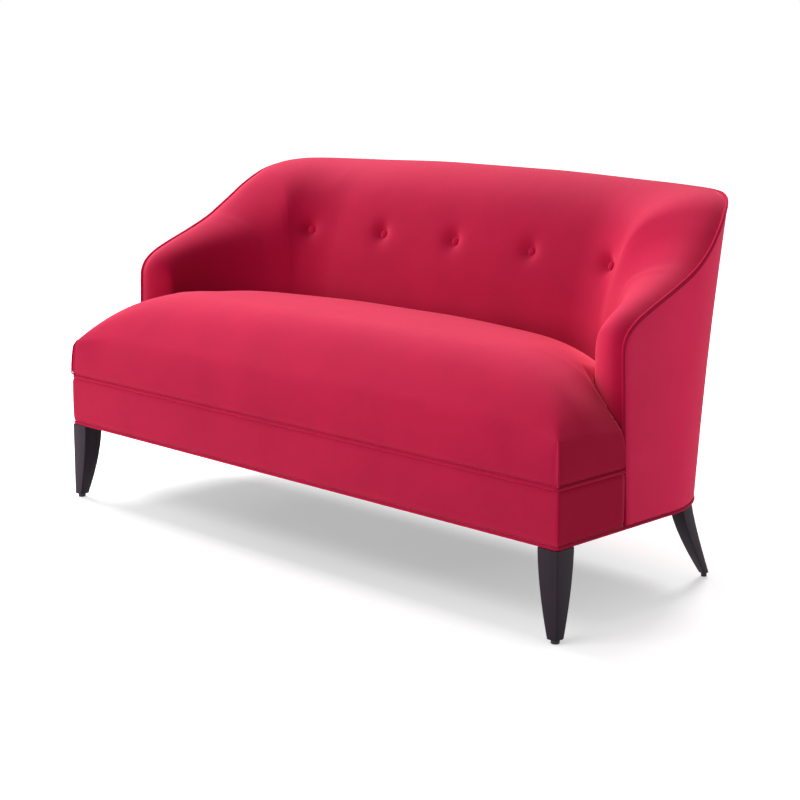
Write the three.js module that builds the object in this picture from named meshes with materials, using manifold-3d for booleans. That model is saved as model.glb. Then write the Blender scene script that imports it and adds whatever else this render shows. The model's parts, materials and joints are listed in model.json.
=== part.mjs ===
// A tight-backed settee: the arms sweep up into a wrapped, button-tufted back.
// Millimetres, +Z up. The front faces -Y and "left" is -X, seen from in front.
import * as THREE from 'three';
import { mergeVertices } from 'three/addons/utils/BufferGeometryUtils.js';
import Module from 'manifold-3d';

const wasm = await Module();
wasm.setup();

// Overall sizes
const WIDTH = 1500;
const BASE_DEPTH = 564;
const LEG_HEIGHT = 178.5;
const BAND_HEIGHT = 115;
const REAR_CORNER = 214;
const FRONT_CORNER = 8;

// Top edge of the arms and back, which the long welt follows; rises are above the seat's seam
const ARM_LEAN = 13;
const ARM_RISE = 218.5;
const BACK_RISE = 483.5;
const BACK_RAKE = 165;
const TOP_CORNER = 304;
const ARM_SETBACK = 202;
const ARM_SWEEP = 540;
const SHELL_BOW = 2;

// Inside face of the arms and back
const ARM_THICKNESS = 94;
const BACK_THICKNESS = 86;
const SEATING_CORNER = 290;
const LEAN_RISE = 146.5;
const BACK_LEAN = 61;
const TUCK_RISE = 2.5;

// Padded roll between the welt and the inside face
const ARM_ROLL_DROP = 22;
const ARM_ROLL_CROWN = 21;
const ARM_ROLL_REACH = 34;
const BACK_ROLL_DROP = 77;
const BACK_ROLL_CROWN = 44;
const BACK_ROLL_REACH = 92;
const FAN_SPREAD = 48;
const FAN_FOOT = 8;
const FAN_RISE = 38;
const ARM_FOAM = 17;
const BACK_FOAM = 44;
const RIM_FOAM = 4;
const FOAM_LIP = 1;

// Seat
const SEAT_WALL = 74;
const SEAT_WALL_ROUND = 9;
const SEAT_DOME = 128;
const SEAT_ROLL = 217;
const BACK_CREASE_DEPTH = 48;
const BACK_CREASE_WIDTH = 50;
const CORNER_CREASE_DEPTH = 72;
const CORNER_CREASE_WIDTH = 86;
const CREASE_CORNER_START = 80;
const CREASE_CORNER_END = 560;
const CREASE_FRONT_START = 202;
const CREASE_FRONT_END = 394;
const SEAT_CLEARANCE = 3.5;
const EAR_HOLLOW = 12;

// Cloth, cords and clearances
const CLOTH = 2.5;
const WELT_RADIUS = 3.5;
const WELT_PROUD = 1.5;
const GAP = 0.3;
const FOAM_GAP = 0.8;
const PADDING = 3;
const DUST_CLOTH = 1.2;
const DUST_INSET = 12;
const HESSIAN = 1.4;
const HESSIAN_INSET = 10;

// Buttons
const BUTTON_RADIUS = 9.5;
const BUTTON_DOME = 5;
const BUTTON_SPREAD = 89;
const TUFT_DEPTH = 13;
const TUFT_RADIUS = 24;

// Legs, glides and their bolts
const FRONT_LEG_TOP = 48.7;
const FRONT_LEG_FOOT = 22.9;
const REAR_LEG_TOP = 34;
const REAR_LEG_FOOT = 15;
const REAR_LEG_INSET = 58;
const REAR_LEG_SETBACK = 114;
const REAR_LEG_KICK_DEPTH = 90;
const LEG_EDGE = 1.6;
const GLIDE_HEIGHT = 8;
const GLIDE_EDGE = 1.5;
const FRONT_GLIDE_RADIUS = 8.5;
const REAR_GLIDE_RADIUS = 6;
const BOLT_RADIUS = 4;
const BOLT_IN_LEG = 42;
const BOLT_IN_BLOCK = 48;

// Hardwood frame
const RAIL_HEIGHT = 98;
const RAIL_THICKNESS = 25;
const CORNER_BLOCK = 50;
const REAR_BLOCK_THICKNESS = 56;
const CENTRE_RAIL_HEIGHT = 60;
const ARM_RAIL_HEIGHT = 22;
const ARM_RAIL_WIDTH = 32;
const ARM_RAIL_DROP = 25;
const ARM_RAIL_START = 24;
const TOP_RAIL_HEIGHT = 48;
const TOP_RAIL_WIDTH = 24;
const TOP_RAIL_DROP = 58;
const RAIL_JOINT = 330;
const ARM_POST_WIDTH = 34;
const ARM_POST_DEPTH = 34;
const CORNER_POST = 22;
const BACK_POST_WIDTH = 44;
const BACK_POST_DEPTH = 24;
const CORNER_POST_ANGLE = 0.5;

// Sinuous seat springs
const SPRING_COUNT = 8;
const SPRING_SPREAD = 24;
const SPRING_WIRE = 2;
const SPRING_BARS = 18;
const SPRING_REACH = 21;

// Facets
const WELT_SIDES = 6;
const WIRE_SIDES = 4;
const BOLT_SIDES = 10;
const BUTTON_SIDES = 12;
const REAR_STEPS = 8;
const FRONT_STEPS = 3;
const LEG_STEPS = 8;
const ARM_RAIL_STEPS = 7;
const EDGE_SEARCH_STEPS = 30;
const TOP_RAIL_STEPS = 8;

// Shape tables: shares of the sizes they follow
const SWEEP_SHARES = [
  [0, 0], [0.003, 0.06], [0.02, 0.135], [0.067, 0.215], [0.15, 0.294], [0.281, 0.4],
  [0.398, 0.509], [0.506, 0.653], [0.593, 0.788], [0.687, 0.906], [0.78, 0.967], [0.885, 0.994], [1, 1],
];
const FRONT_COLUMN_SHARES = [0, 0.36, 0.7, 0.9];
const CORNER_COLUMN_SHARES = [0.5];
const BACK_COLUMN_SHARES = [0.25, 0.5, 0.75];
const BUTTON_SHARES = [[0, -0.4], [0.7, -0.32], [1, 0.1], [0.93, 0.45], [0.6, 0.88], [0, 1]];
const CROWN_SET_SHARE = 0.17;
const FOAM_FULL_SHARE = 0.45;
const ROLL_SHARES = [0, 0.17, 0.36, 0.56, 0.78, 1];
const FACE_SHARES = [0.165, 0.33, 0.62, 1];
const SHELL_SHARES = [0, 0.25, 0.5, 0.75, 1];
const SEAT_SIDE_SHARES = [0, 0.14, 0.28, 0.42, 0.56, 0.69, 0.8, 0.87, 1];
const EAR_SHARES = [0.3, 0.55, 0.76, 0.91, 0.97, 1];
const SEAT_FRONT_SHARES = [0, 0.015, 0.05, 0.13, 0.24, 0.38, 0.56, 0.78, 1];
const SEAT_BACK_SHARES = [0.25, 0.5, 0.75, 0.92, 1];
const SEAT_ROLL_POWER = 1.96;
const FRONT_FULLNESS_SHARE = 0.74;
const SIDE_FULLNESS_SHARE = 0.89;
const EAR_FULLNESS_START_SHARE = 0.45;
const CREASE_POWER = 1.3;
const EAR_POWER = 3;
const LEG_TAPER_POWER = 1.7;
const SABRE_POWER = 1.3;

const clamp = THREE.MathUtils.clamp;
const lerp = THREE.MathUtils.lerp;
const smooth = THREE.MathUtils.smoothstep;
const vec = (x, y, z) => new THREE.Vector3(x, y, z);

// Levels and faces that follow from the sizes above
const SEAT_SEAM = LEG_HEIGHT + BAND_HEIGHT;
const TOP_WIDTH = WIDTH - 2 * ARM_LEAN;
const SEATING_WIDTH = WIDTH - 2 * ARM_THICKNESS;
const SEATING_DEPTH = BASE_DEPTH - BACK_THICKNESS;
const ARM_FRONT_HEIGHT = SEAT_SEAM + ARM_RISE;
const BACK_HEIGHT = SEAT_SEAM + BACK_RISE;
const LEAN_HEIGHT = SEAT_SEAM + LEAN_RISE;
const TUCK_HEIGHT = SEAT_SEAM + TUCK_RISE;
const BUTTON_PITCH = (SEATING_WIDTH / 2 - SEATING_CORNER + BUTTON_SPREAD) / 2;
const BACK_FACE = BASE_DEPTH - WELT_PROUD;
const BEHIND_WELT = 2 * WELT_RADIUS + GAP;
const EDGE_INSET = WELT_RADIUS + GAP;
const RAIL_FRONT = WELT_PROUD + CLOTH + PADDING;
const RAIL_BACK = BACK_FACE - CLOTH - PADDING;
const BLOCK_BOTTOM = LEG_HEIGHT + GAP;
const RAIL_BOTTOM = LEG_HEIGHT + WELT_RADIUS;
const RAIL_TOP = RAIL_BOTTOM + RAIL_HEIGHT;
const TOP_BACK = BASE_DEPTH + BACK_RAKE;
const ROLL_FOOT = BACK_HEIGHT - BACK_ROLL_DROP;
const LEG_TOP = LEG_HEIGHT - GAP;
const LEG_FOOT = GLIDE_HEIGHT + GAP;
const BLOCK_FACE = WIDTH / 2 - BEHIND_WELT;
const RAIL_FACE = BLOCK_FACE - (frontLean(LEG_HEIGHT) - frontLean(RAIL_TOP));
const PANEL_FOOT = LEG_HEIGHT + BEHIND_WELT;

// Plan of one half of the shell: a straight side, a quarter circle and a straight back
function halfPlan(halfWidth, front, back, radius) {
  const side = back - radius - front;
  const arc = (radius * Math.PI) / 2;
  const total = side + arc + halfWidth - radius;
  function at(s) {
    if (s <= side) return { x: halfWidth, y: front + s, nx: 1, ny: 0 };
    if (s >= side + arc) return { x: total - s, y: back, nx: 0, ny: 1 };
    const angle = (s - side) / radius;
    const [nx, ny] = [Math.cos(angle), Math.sin(angle)];
    return { x: halfWidth - radius + radius * nx, y: back - radius + radius * ny, nx, ny };
  }
  return { side, arc, total, at };
}

const topPlan = halfPlan(TOP_WIDTH / 2, ARM_SETBACK, TOP_BACK, TOP_CORNER);
const basePlan = halfPlan(WIDTH / 2, ARM_SETBACK, BASE_DEPTH, REAR_CORNER);

// The arm front leans in a little from the base to the arm
function frontLean(z) {
  const share = clamp((z - LEG_HEIGHT) / (ARM_FRONT_HEIGHT - LEG_HEIGHT), 0, 1);
  return ARM_LEAN * (1 - share);
}

// A place on the arms or back: s along the top edge's plan, z up, and inward from that edge
function place(s, z, inward) {
  const { x, y, nx, ny } = topPlan.at(s);
  return vec(x - nx * inward, y - ny * inward, z);
}

function insideBack(z) {
  const lean = Math.max(0, z - LEAN_HEIGHT) / (ROLL_FOOT - LEAN_HEIGHT);
  return SEATING_DEPTH + BACK_LEAN * lean * lean;
}

// Distance inward from the top edge's plan to the inside face at height z
function depthToFace(s, z) {
  const { x, y, nx, ny } = topPlan.at(s);
  const back = insideBack(z);
  const [cx, cy] = [SEATING_WIDTH / 2 - SEATING_CORNER, back - SEATING_CORNER];
  const toSide = (x - SEATING_WIDTH / 2) / nx;
  if (nx > 0 && y - toSide * ny <= cy) return toSide;
  const toBack = (y - back) / ny;
  if (ny > 0 && x - toBack * nx <= cx) return toBack;
  const along = (x - cx) * nx + (y - cy) * ny;
  const square = (x - cx) ** 2 + (y - cy) ** 2 - SEATING_CORNER ** 2;
  return along - Math.sqrt(along * along - square);
}

// Top edge as a curve in the developed (s, z) plane
const sweepPoints = SWEEP_SHARES.map(([run, rise]) => {
  return vec(run * ARM_SWEEP, 0, lerp(ARM_FRONT_HEIGHT, BACK_HEIGHT, rise));
});
const edgeCurve = new THREE.CatmullRomCurve3(
  [vec(0, 0, 2 * ARM_FRONT_HEIGHT - sweepPoints[2].z), ...sweepPoints, vec(topPlan.total, 0, BACK_HEIGHT)],
  false, 'centripetal');
const curveSegments = edgeCurve.points.length - 1;

function edgeAt(t) {
  const point = edgeCurve.getPoint(t);
  const tangent = edgeCurve.getTangent(t);
  return { s: point.x, z: point.z, es: -tangent.z, ez: tangent.x };
}

// The same curve, found by its run instead of its parameter
function edgeAtRun(s) {
  if (s >= ARM_SWEEP) return { s, z: BACK_HEIGHT, es: 0, ez: 1 };
  let [low, high] = [1 / curveSegments, (curveSegments - 1) / curveSegments];
  for (let k = 0; k < EDGE_SEARCH_STEPS; k++) {
    const middleOfRange = (low + high) / 2;
    if (edgeCurve.getPoint(middleOfRange).x < s) low = middleOfRange;
    else high = middleOfRange;
  }
  return edgeAt(low);
}
const edgeHeight = (s) => edgeAtRun(s).z;

// Columns of the upper edge: the straight front, the sweep and the level back
const frontEdge = (z) => ({ s: 0, z, es: -1, ez: 0 });
const levelEdge = (s) => ({ s, z: BACK_HEIGHT, es: 0, ez: 1 });
const COVER_FOOT = TUCK_HEIGHT + FAN_RISE;
const frontColumns = FRONT_COLUMN_SHARES.map((share) => frontEdge(lerp(COVER_FOOT, ARM_FRONT_HEIGHT, share)));
const sweepColumns = sweepPoints.slice(0, -1).map((point, k) => edgeAt((k + 1) / curveSegments));
const outerButton = topPlan.side + TOP_CORNER * buttonAngle();
const innerButton = topPlan.total - BUTTON_PITCH;
const levelRuns = [
  [ARM_SWEEP, outerButton, CORNER_COLUMN_SHARES],
  [outerButton, innerButton, BACK_COLUMN_SHARES],
  [innerButton, topPlan.total, BACK_COLUMN_SHARES],
];
const levelColumns = levelRuns.flatMap(([from, to, shares]) => {
  return [levelEdge(from), ...shares.map((share) => levelEdge(lerp(from, to, share)))];
});
const halfColumns = [...frontColumns, ...sweepColumns, ...levelColumns, levelEdge(topPlan.total)];

// The outer buttons sit where the inside face starts to turn
function buttonAngle() {
  const back = insideBack(lerp(ROLL_FOOT, TUCK_HEIGHT, FACE_SHARES[0]));
  const [cx, cy] = [SEATING_WIDTH / 2 - SEATING_CORNER, back - SEATING_CORNER];
  const x = 2 * BUTTON_PITCH;
  const y = cy + Math.sqrt(SEATING_CORNER ** 2 - Math.max(0, x - cx) ** 2);
  return Math.atan2(y - (TOP_BACK - TOP_CORNER), x - (TOP_WIDTH / 2 - TOP_CORNER));
}

// One rib of the inside cover: over the roll, then down the inside face to its tucked foot
function coverRib(column) {
  const { s, z, es, ez } = column;
  const rear = smooth(s, topPlan.side, ARM_SWEEP);
  const drop = lerp(ARM_ROLL_DROP, BACK_ROLL_DROP, rear);
  const crown = lerp(ARM_ROLL_CROWN, BACK_ROLL_CROWN, rear);
  const reach = lerp(ARM_ROLL_REACH, BACK_ROLL_REACH, rear);
  const start = [s, z, BEHIND_WELT - (s <= 0 ? frontLean(z) : 0)];
  const rollFoot = [s - es * drop, z - ez * drop];
  const upright = clamp((z - COVER_FOOT) / (ARM_FRONT_HEIGHT - COVER_FOOT), 0, 1);
  const fade = clamp(1 - s / ARM_SWEEP, 0, 1);
  const foot = [rollFoot[0] + (FAN_FOOT + (FAN_SPREAD - FAN_FOOT) * upright) * fade, TUCK_HEIGHT];
  const facePoint = (share) => {
    const [fs, fz] = [lerp(rollFoot[0], foot[0], share), lerp(rollFoot[1], foot[1], share)];
    return [fs, fz, depthToFace(Math.min(fs, topPlan.total), fz)];
  };
  const end = facePoint(0);
  const ahead = facePoint(FACE_SHARES[0]);
  const run = Math.hypot(...end.map((value, k) => value - ahead[k]));
  const lift = [s + es * crown, z + ez * crown, start[2] + crown * CROWN_SET_SHARE];
  const arrive = end.map((value, k) => value + ((value - ahead[k]) * reach) / run);
  const bezier = (t) => end.map((value, k) => {
    const u = 1 - t;
    return u ** 3 * start[k] + 3 * u * u * t * lift[k] + 3 * u * t * t * arrive[k] + t ** 3 * value;
  });
  const rows = [...ROLL_SHARES.map(bezier), ...FACE_SHARES.map(facePoint)];
  return rows.map(([rs, rz, inward]) => place(rs, rz, inward));
}

const mirrorX = (point) => vec(-point.x, point.y, point.z);

// Both halves of a grid of ribs, right side first, meeting at the middle of the back
function mirrorRibs(ribs) {
  return [...ribs, ...ribs.slice(0, -1).reverse().map((rib) => rib.map(mirrorX))];
}

// Normals of a grid from its neighbours, pointing out of the padding
function gridNormals(grid) {
  const last = grid.length - 1;
  return grid.map((rib, i) => rib.map((point, j) => {
    const du = grid[Math.min(i + 1, last)][j].clone().sub(grid[Math.max(i - 1, 0)][j]);
    const dv = rib[Math.min(j + 1, rib.length - 1)].clone().sub(rib[Math.max(j - 1, 0)]);
    return du.cross(dv).normalize();
  }));
}

function offsetGrid(grid, normals, distance) {
  return grid.map((rib, i) => rib.map((point, j) => {
    const depth = typeof distance === 'function' ? distance(i, j) : distance;
    return point.clone().addScaledVector(normals[i][j], -depth);
  }));
}

// Turns a closed surface right side out
function closedGeometry(points, faces) {
  let volume = 0;
  for (const [a, b, c] of faces) {
    volume += points[a].dot(points[b].clone().cross(points[c]));
  }
  const index = faces.flatMap(([a, b, c]) => (volume < 0 ? [a, c, b] : [a, b, c]));
  const geometry = new THREE.BufferGeometry().setFromPoints(points);
  geometry.setIndex(index);
  return geometry;
}

// Closed slab between two grids of one size. Cells that are not present are left out, and the
// diagonals turn over from one column on, so that the halves of a mirrored grid match.
function slab(outer, inner, turn = outer.length, present = () => true) {
  const [rows, cols] = [outer.length, outer[0].length];
  const points = [...outer.flat(), ...inner.flat()];
  const id = (side, i, j) => side * rows * cols + i * cols + j;
  const has = (i, j) => i >= 0 && j >= 0 && i < rows - 1 && j < cols - 1 && present(i, j);
  const faces = [];
  const wall = (i, j, k, l) => {
    const [a, b, c, d] = [id(0, i, j), id(0, k, l), id(1, i, j), id(1, k, l)];
    if (a < b) faces.push([a, d, b], [a, c, d]);
    else faces.push([a, c, b], [c, d, b]);
  };
  for (let i = 0; i < rows - 1; i++) {
    for (let j = 0; j < cols - 1; j++) {
      if (!has(i, j)) continue;
      const corners = [[i, j], [i + 1, j], [i + 1, j + 1], [i, j + 1]];
      const [a, b, c, d] = corners.map(([k, l]) => id(0, k, l));
      const [e, f, g, h] = corners.map(([k, l]) => id(1, k, l));
      if (i < turn) faces.push([a, b, c], [a, c, d], [e, g, f], [e, h, g]);
      else faces.push([a, b, d], [b, c, d], [e, h, f], [f, h, g]);
      if (!has(i, j - 1)) wall(i, j, i + 1, j);
      if (!has(i + 1, j)) wall(i + 1, j, i + 1, j + 1);
      if (!has(i, j + 1)) wall(i + 1, j + 1, i, j + 1);
      if (!has(i - 1, j)) wall(i, j + 1, i, j);
    }
  }
  const used = closedGeometry(points, faces).toNonIndexed();
  return mergeVertices(used);
}

// Closed loft through rings of one size with flat ends
function loft(rings) {
  const size = rings[0].length;
  const faces = [];
  for (let i = 0; i < rings.length - 1; i++) {
    for (let j = 0; j < size; j++) {
      const k = (j + 1) % size;
      const [a, b, c, d] = [i * size + j, i * size + k, (i + 1) * size + k, (i + 1) * size + j];
      faces.push([a, b, c], [a, c, d]);
    }
  }
  const top = (rings.length - 1) * size;
  for (let j = 1; j < size - 1; j++) faces.push([0, j + 1, j], [top, top + j, top + j + 1]);
  return closedGeometry(rings.flat(), faces);
}

// Round cord through a list of points
function cord(points, radius, sides) {
  let across = null;
  const rings = points.map((point, i) => {
    const ahead = points[Math.min(i + 1, points.length - 1)];
    const behind = points[Math.max(i - 1, 0)];
    const tangent = ahead.clone().sub(behind).normalize();
    const guess = across ?? (Math.abs(tangent.z) < 0.9 ? vec(0, 0, 1) : vec(1, 0, 0));
    across = guess.clone().addScaledVector(tangent, -guess.dot(tangent)).normalize();
    const other = tangent.clone().cross(across);
    return Array.from({ length: sides }, (_, k) => {
      const angle = (2 * Math.PI * (k + 0.5)) / sides;
      return point.clone().addScaledVector(across, radius * Math.cos(angle))
        .addScaledVector(other, radius * Math.sin(angle));
    });
  });
  return loft(rings);
}

// Upright prism on a plan outline
function prism(outline, bottom, height, holes = []) {
  const shape = new THREE.Shape(outline);
  for (const hole of holes) shape.holes.push(new THREE.Path(hole));
  const geometry = new THREE.ExtrudeGeometry(shape, { depth: height, bevelEnabled: false });
  geometry.translate(0, 0, bottom);
  return geometry;
}

const rectangle = (x0, x1, y0, y1) => [
  new THREE.Vector2(x0, y0), new THREE.Vector2(x1, y0), new THREE.Vector2(x1, y1), new THREE.Vector2(x0, y1),
];

// Solid for cutting
function solid(geometry) {
  const bare = geometry.clone();
  bare.deleteAttribute('normal');
  bare.deleteAttribute('uv');
  const merged = mergeVertices(bare);
  const mesh = new wasm.Mesh({
    numProp: 3,
    vertProperties: new Float32Array(merged.attributes.position.array),
    triVerts: new Uint32Array(merged.index.array),
  });
  return new wasm.Manifold(mesh);
}

function cut(geometry, tool) {
  const mesh = solid(geometry).subtract(solid(tool)).getMesh();
  const result = new THREE.BufferGeometry();
  result.setAttribute('position', new THREE.BufferAttribute(new Float32Array(mesh.vertProperties), 3));
  result.setIndex(new THREE.BufferAttribute(new Uint32Array(mesh.triVerts), 1));
  return result;
}

// Materials
const VELVET = { color: '#b8213f', roughness: 0.85, metalness: 0 };
const WOOD = { color: '#241c22', roughness: 0.35, metalness: 0 };
const FRAME_WOOD = { color: '#b08d5e', roughness: 0.8, metalness: 0 };
const FOAM = { color: '#e9dfb8', roughness: 0.95, metalness: 0 };
const HESSIAN_CLOTH = { color: '#a98f62', roughness: 1, metalness: 0 };
const BLACK_CLOTH = { color: '#1c1b1d', roughness: 1, metalness: 0 };
const PLASTIC = { color: '#141315', roughness: 0.6, metalness: 0 };
const STEEL = { color: '#8d9196', roughness: 0.35, metalness: 0.9 };

const settee = new THREE.Group();
settee.name = 'settee';

function add(name, geometry, look) {
  const mesh = new THREE.Mesh(geometry, new THREE.MeshStandardMaterial(look));
  mesh.name = name;
  settee.add(mesh);
  return mesh;
}

const sides = [['right', 1], ['left', -1]];

// The same solid on the left, with its facets turned right side out again
function flip(geometry, side) {
  if (side > 0) return geometry;
  const flipped = mergeVertices(geometry).scale(-1, 1, 1);
  const index = Array.from(flipped.index.array);
  for (let i = 0; i < index.length; i += 3) [index[i + 1], index[i + 2]] = [index[i + 2], index[i + 1]];
  flipped.setIndex(index);
  return flipped;
}

// Inside cover and foam
const ribs = halfColumns.map(coverRib);
const plain = mirrorRibs(ribs);
const plainNormals = gridNormals(plain);
const buttonRow = ROLL_SHARES.length;
const middle = ribs.length - 1;
const stepsBetween = BACK_COLUMN_SHARES.length + 1;
const buttonColumns = [-2, -1, 0, 1, 2].map((k) => middle + k * stepsBetween);
const buttonSeats = buttonColumns.map((i) => plain[i][buttonRow]);

function tuft(point) {
  return buttonSeats.reduce((depth, seat) => {
    const reach = point.distanceTo(seat) / TUFT_RADIUS;
    return depth + TUFT_DEPTH / (1 + reach * reach) ** 2;
  }, 0);
}

const face = offsetGrid(plain, plainNormals, (i, j) => tuft(plain[i][j]));
const under = offsetGrid(face, plainNormals, CLOTH);
add('inside_cover', slab(face, under, middle), VELVET);

function foamDepth(i, j) {
  const column = halfColumns[i <= middle ? i : 2 * middle - i];
  const rear = smooth(column.s, topPlan.side, ARM_SWEEP);
  const full = lerp(ARM_FOAM, BACK_FOAM, rear);
  const grow = clamp(ROLL_SHARES[Math.min(j, ROLL_SHARES.length - 1)] / FOAM_FULL_SHARE, 0, 1);
  return CLOTH + FOAM_GAP + lerp(RIM_FOAM, full, grow);
}

const foamFace = offsetGrid(face, plainNormals, CLOTH + FOAM_GAP);
const foamBack = offsetGrid(plain, plainNormals, foamDepth);
const armEnd = halfColumns.findIndex(({ s }) => s > topPlan.side);
const foamRuns = [
  ['arm_foam_right', 0, armEnd], ['back_foam', armEnd, 2 * middle - armEnd],
  ['arm_foam_left', 2 * middle - armEnd, 2 * middle],
];
for (const [name, from, to] of foamRuns) {
  const part = (grid) => grid.slice(from, to + 1).map((rib, k, list) => {
    const neighbour = k === 0 ? list[1] : list[list.length - 2];
    const trimmed = (k === 0 && from > 0) || (k === list.length - 1 && to < 2 * middle);
    if (!trimmed) return rib;
    return rib.map((point, j) => {
      const toward = neighbour[j].clone().sub(point);
      return point.clone().addScaledVector(toward, GAP / toward.length());
    });
  });
  add(name, slab(part(foamFace), part(foamBack), middle - from), FOAM);
}

// Height at which the back of a button clears the cloth that rises round its seat
function buttonLift(i) {
  const [seat, normal] = [face[i][buttonRow], plainNormals[i][buttonRow]];
  const around = [-1, 0, 1].flatMap((di) => [-1, 0, 1].map((dj) => face[i + di][buttonRow + dj]));
  const slopes = around.filter((point) => point !== seat).map((point) => {
    const toward = point.clone().sub(seat);
    const rise = toward.dot(normal);
    return rise / Math.sqrt(toward.lengthSq() - rise * rise);
  });
  const steepest = Math.max(...slopes);
  const backs = BUTTON_SHARES.map(([out, up]) => steepest * out * BUTTON_RADIUS - up * BUTTON_DOME);
  return Math.max(...backs) + GAP;
}

// Covered buttons, seated in the tufts
buttonColumns.forEach((i, k) => {
  const normal = plainNormals[i][buttonRow];
  const points = BUTTON_SHARES.map(([out, up]) => new THREE.Vector2(out * BUTTON_RADIUS, up * BUTTON_DOME));
  const geometry = new THREE.LatheGeometry(points, BUTTON_SIDES);
  geometry.rotateX(Math.PI / 2);
  const mesh = add(`button_${k + 1}`, geometry, VELVET);
  mesh.position.copy(face[i][buttonRow]).addScaledVector(normal, buttonLift(i));
  mesh.quaternion.setFromUnitVectors(vec(0, 0, 1), normal);
});

// Outside panels hang from the long welt to the base
const seam = topPlan.side + topPlan.arc;

// Matching run along the base for a run along the top edge
function baseRun(s) {
  const turned = s - topPlan.side;
  if (turned <= 0) return lerp(EDGE_INSET, basePlan.side, (s - EDGE_INSET) / (topPlan.side - EDGE_INSET));
  if (turned <= topPlan.arc) return basePlan.side + (turned * basePlan.arc) / topPlan.arc;
  return lerp(basePlan.side + basePlan.arc, basePlan.total, (s - seam) / (topPlan.total - seam));
}

// Distance inward from the top edge's plan to the outside of the shell at height z
function shellDepth(s, z) {
  const { x, y, nx, ny } = topPlan.at(s);
  const base = basePlan.at(baseRun(s));
  const top = edgeHeight(s);
  const lean = (x - base.x) * nx + (y - base.y) * ny;
  return WELT_PROUD + (lean * (top - z)) / (top - PANEL_FOOT) + SHELL_BOW;
}

function panelRib({ s, z, es, ez }) {
  const run = s - es * EDGE_INSET;
  const upper = place(run, z - ez * EDGE_INSET, WELT_PROUD);
  const { x, y, nx, ny } = basePlan.at(baseRun(run));
  const lower = vec(x - nx * WELT_PROUD, y - ny * WELT_PROUD, PANEL_FOOT);
  const bow = SHELL_BOW * smooth(s, 0, topPlan.side);
  return SHELL_SHARES.map((share) => {
    const hollow = bow * Math.sin(Math.PI * share);
    return lower.clone().lerp(upper, share).add(vec(-nx * hollow, -ny * hollow, 0));
  });
}

function panel(outer, turn) {
  return slab(outer, offsetGrid(outer, gridNormals(outer), CLOTH), turn);
}

const seamColumn = levelColumns.findIndex(({ s }) => s > outerButton);
const beforeSeam = levelColumns.slice(0, seamColumn);
const shellColumns = [frontEdge(ARM_FRONT_HEIGHT), ...sweepColumns.slice(1), ...beforeSeam];
const seamAt = (offset) => levelEdge(levelColumns[seamColumn].s + offset);
const armPanel = [...shellColumns, seamAt(-GAP)].map(panelRib);
for (const [hand, side] of sides) add(`outside_arm_${hand}`, flip(panel(armPanel), side), VELVET);
const backColumns = [seamAt(GAP), ...levelColumns.slice(seamColumn + 1), levelEdge(topPlan.total)];
add('outside_back', panel(mirrorRibs(backColumns.map(panelRib)), backColumns.length - 1), VELVET);

// Long welt: up the arm fronts, over the arms and along the back
const weltHalf = [frontEdge(PANEL_FOOT), frontEdge(lerp(PANEL_FOOT, ARM_FRONT_HEIGHT, 0.5)), ...sweepColumns,
  ...levelColumns];
const weltPath = weltHalf.map(({ s, z }) => place(s, z, WELT_RADIUS - (s <= 0 ? frontLean(z) : 0)));
const longWelt = [...weltPath, ...weltPath.slice().reverse().map(mirrorX)];
add('arm_back_welt', cord(longWelt, WELT_RADIUS, WELT_SIDES), VELVET);

// Quarter circle of plan points, counter-clockwise from an angle
function quarter(cx, cy, radius, from, steps) {
  return Array.from({ length: steps + 1 }, (_, k) => {
    const angle = from + (k * Math.PI) / 2 / steps;
    return new THREE.Vector2(cx + radius * Math.cos(angle), cy + radius * Math.sin(angle));
  });
}

// Plan outline of the base, drawn in by an inset, from the front right corner round the back
function baseOutline(inset) {
  const half = WIDTH / 2 - inset;
  const [front, back] = [inset, BASE_DEPTH - inset];
  const rear = REAR_CORNER - inset;
  const nose = Math.max(FRONT_CORNER - inset, WELT_PROUD);
  return [
    ...quarter(half - nose, front + nose, nose, -Math.PI / 2, FRONT_STEPS),
    ...quarter(half - rear, back - rear, rear, 0, REAR_STEPS),
    ...quarter(rear - half, back - rear, rear, Math.PI / 2, REAR_STEPS),
    ...quarter(nose - half, front + nose, nose, Math.PI, FRONT_STEPS),
  ];
}

// Front half of that outline, from one arm round the nose to the other
function frontOutline(inset, end) {
  const outline = baseOutline(inset);
  const nose = FRONT_STEPS + 1;
  const half = WIDTH / 2 - inset;
  const right = outline.slice(0, nose).reverse();
  const left = outline.slice(-nose).reverse();
  return [new THREE.Vector2(half, end), ...right, ...left, new THREE.Vector2(-half, end)];
}

// Base band and its two welts
const bandEnd = ARM_SETBACK - WELT_RADIUS - GAP;
const bandOuter = frontOutline(WELT_PROUD, bandEnd);
const bandInner = frontOutline(WELT_PROUD + CLOTH, bandEnd);
const bandHeight = SEAT_SEAM - EDGE_INSET - PANEL_FOOT;
add('front_band', prism([...bandOuter, ...bandInner.slice().reverse()], PANEL_FOOT, bandHeight), VELVET);
const seatWelt = frontOutline(WELT_RADIUS, bandEnd).map(({ x, y }) => vec(x, y, SEAT_SEAM));
add('seat_welt', cord(seatWelt, WELT_RADIUS, WELT_SIDES), VELVET);
const baseLoop = baseOutline(WELT_RADIUS).map(({ x, y }) => vec(x, y, LEG_HEIGHT + WELT_RADIUS));
const backMiddle = (side) => vec(side * GAP, BASE_DEPTH - WELT_RADIUS, LEG_HEIGHT + WELT_RADIUS);
const half = baseLoop.length / 2;
const baseWelt = [backMiddle(-1), ...baseLoop.slice(half), ...baseLoop.slice(0, half), backMiddle(1)];
add('base_welt', cord(baseWelt, WELT_RADIUS, WELT_SIDES), VELVET);

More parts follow.
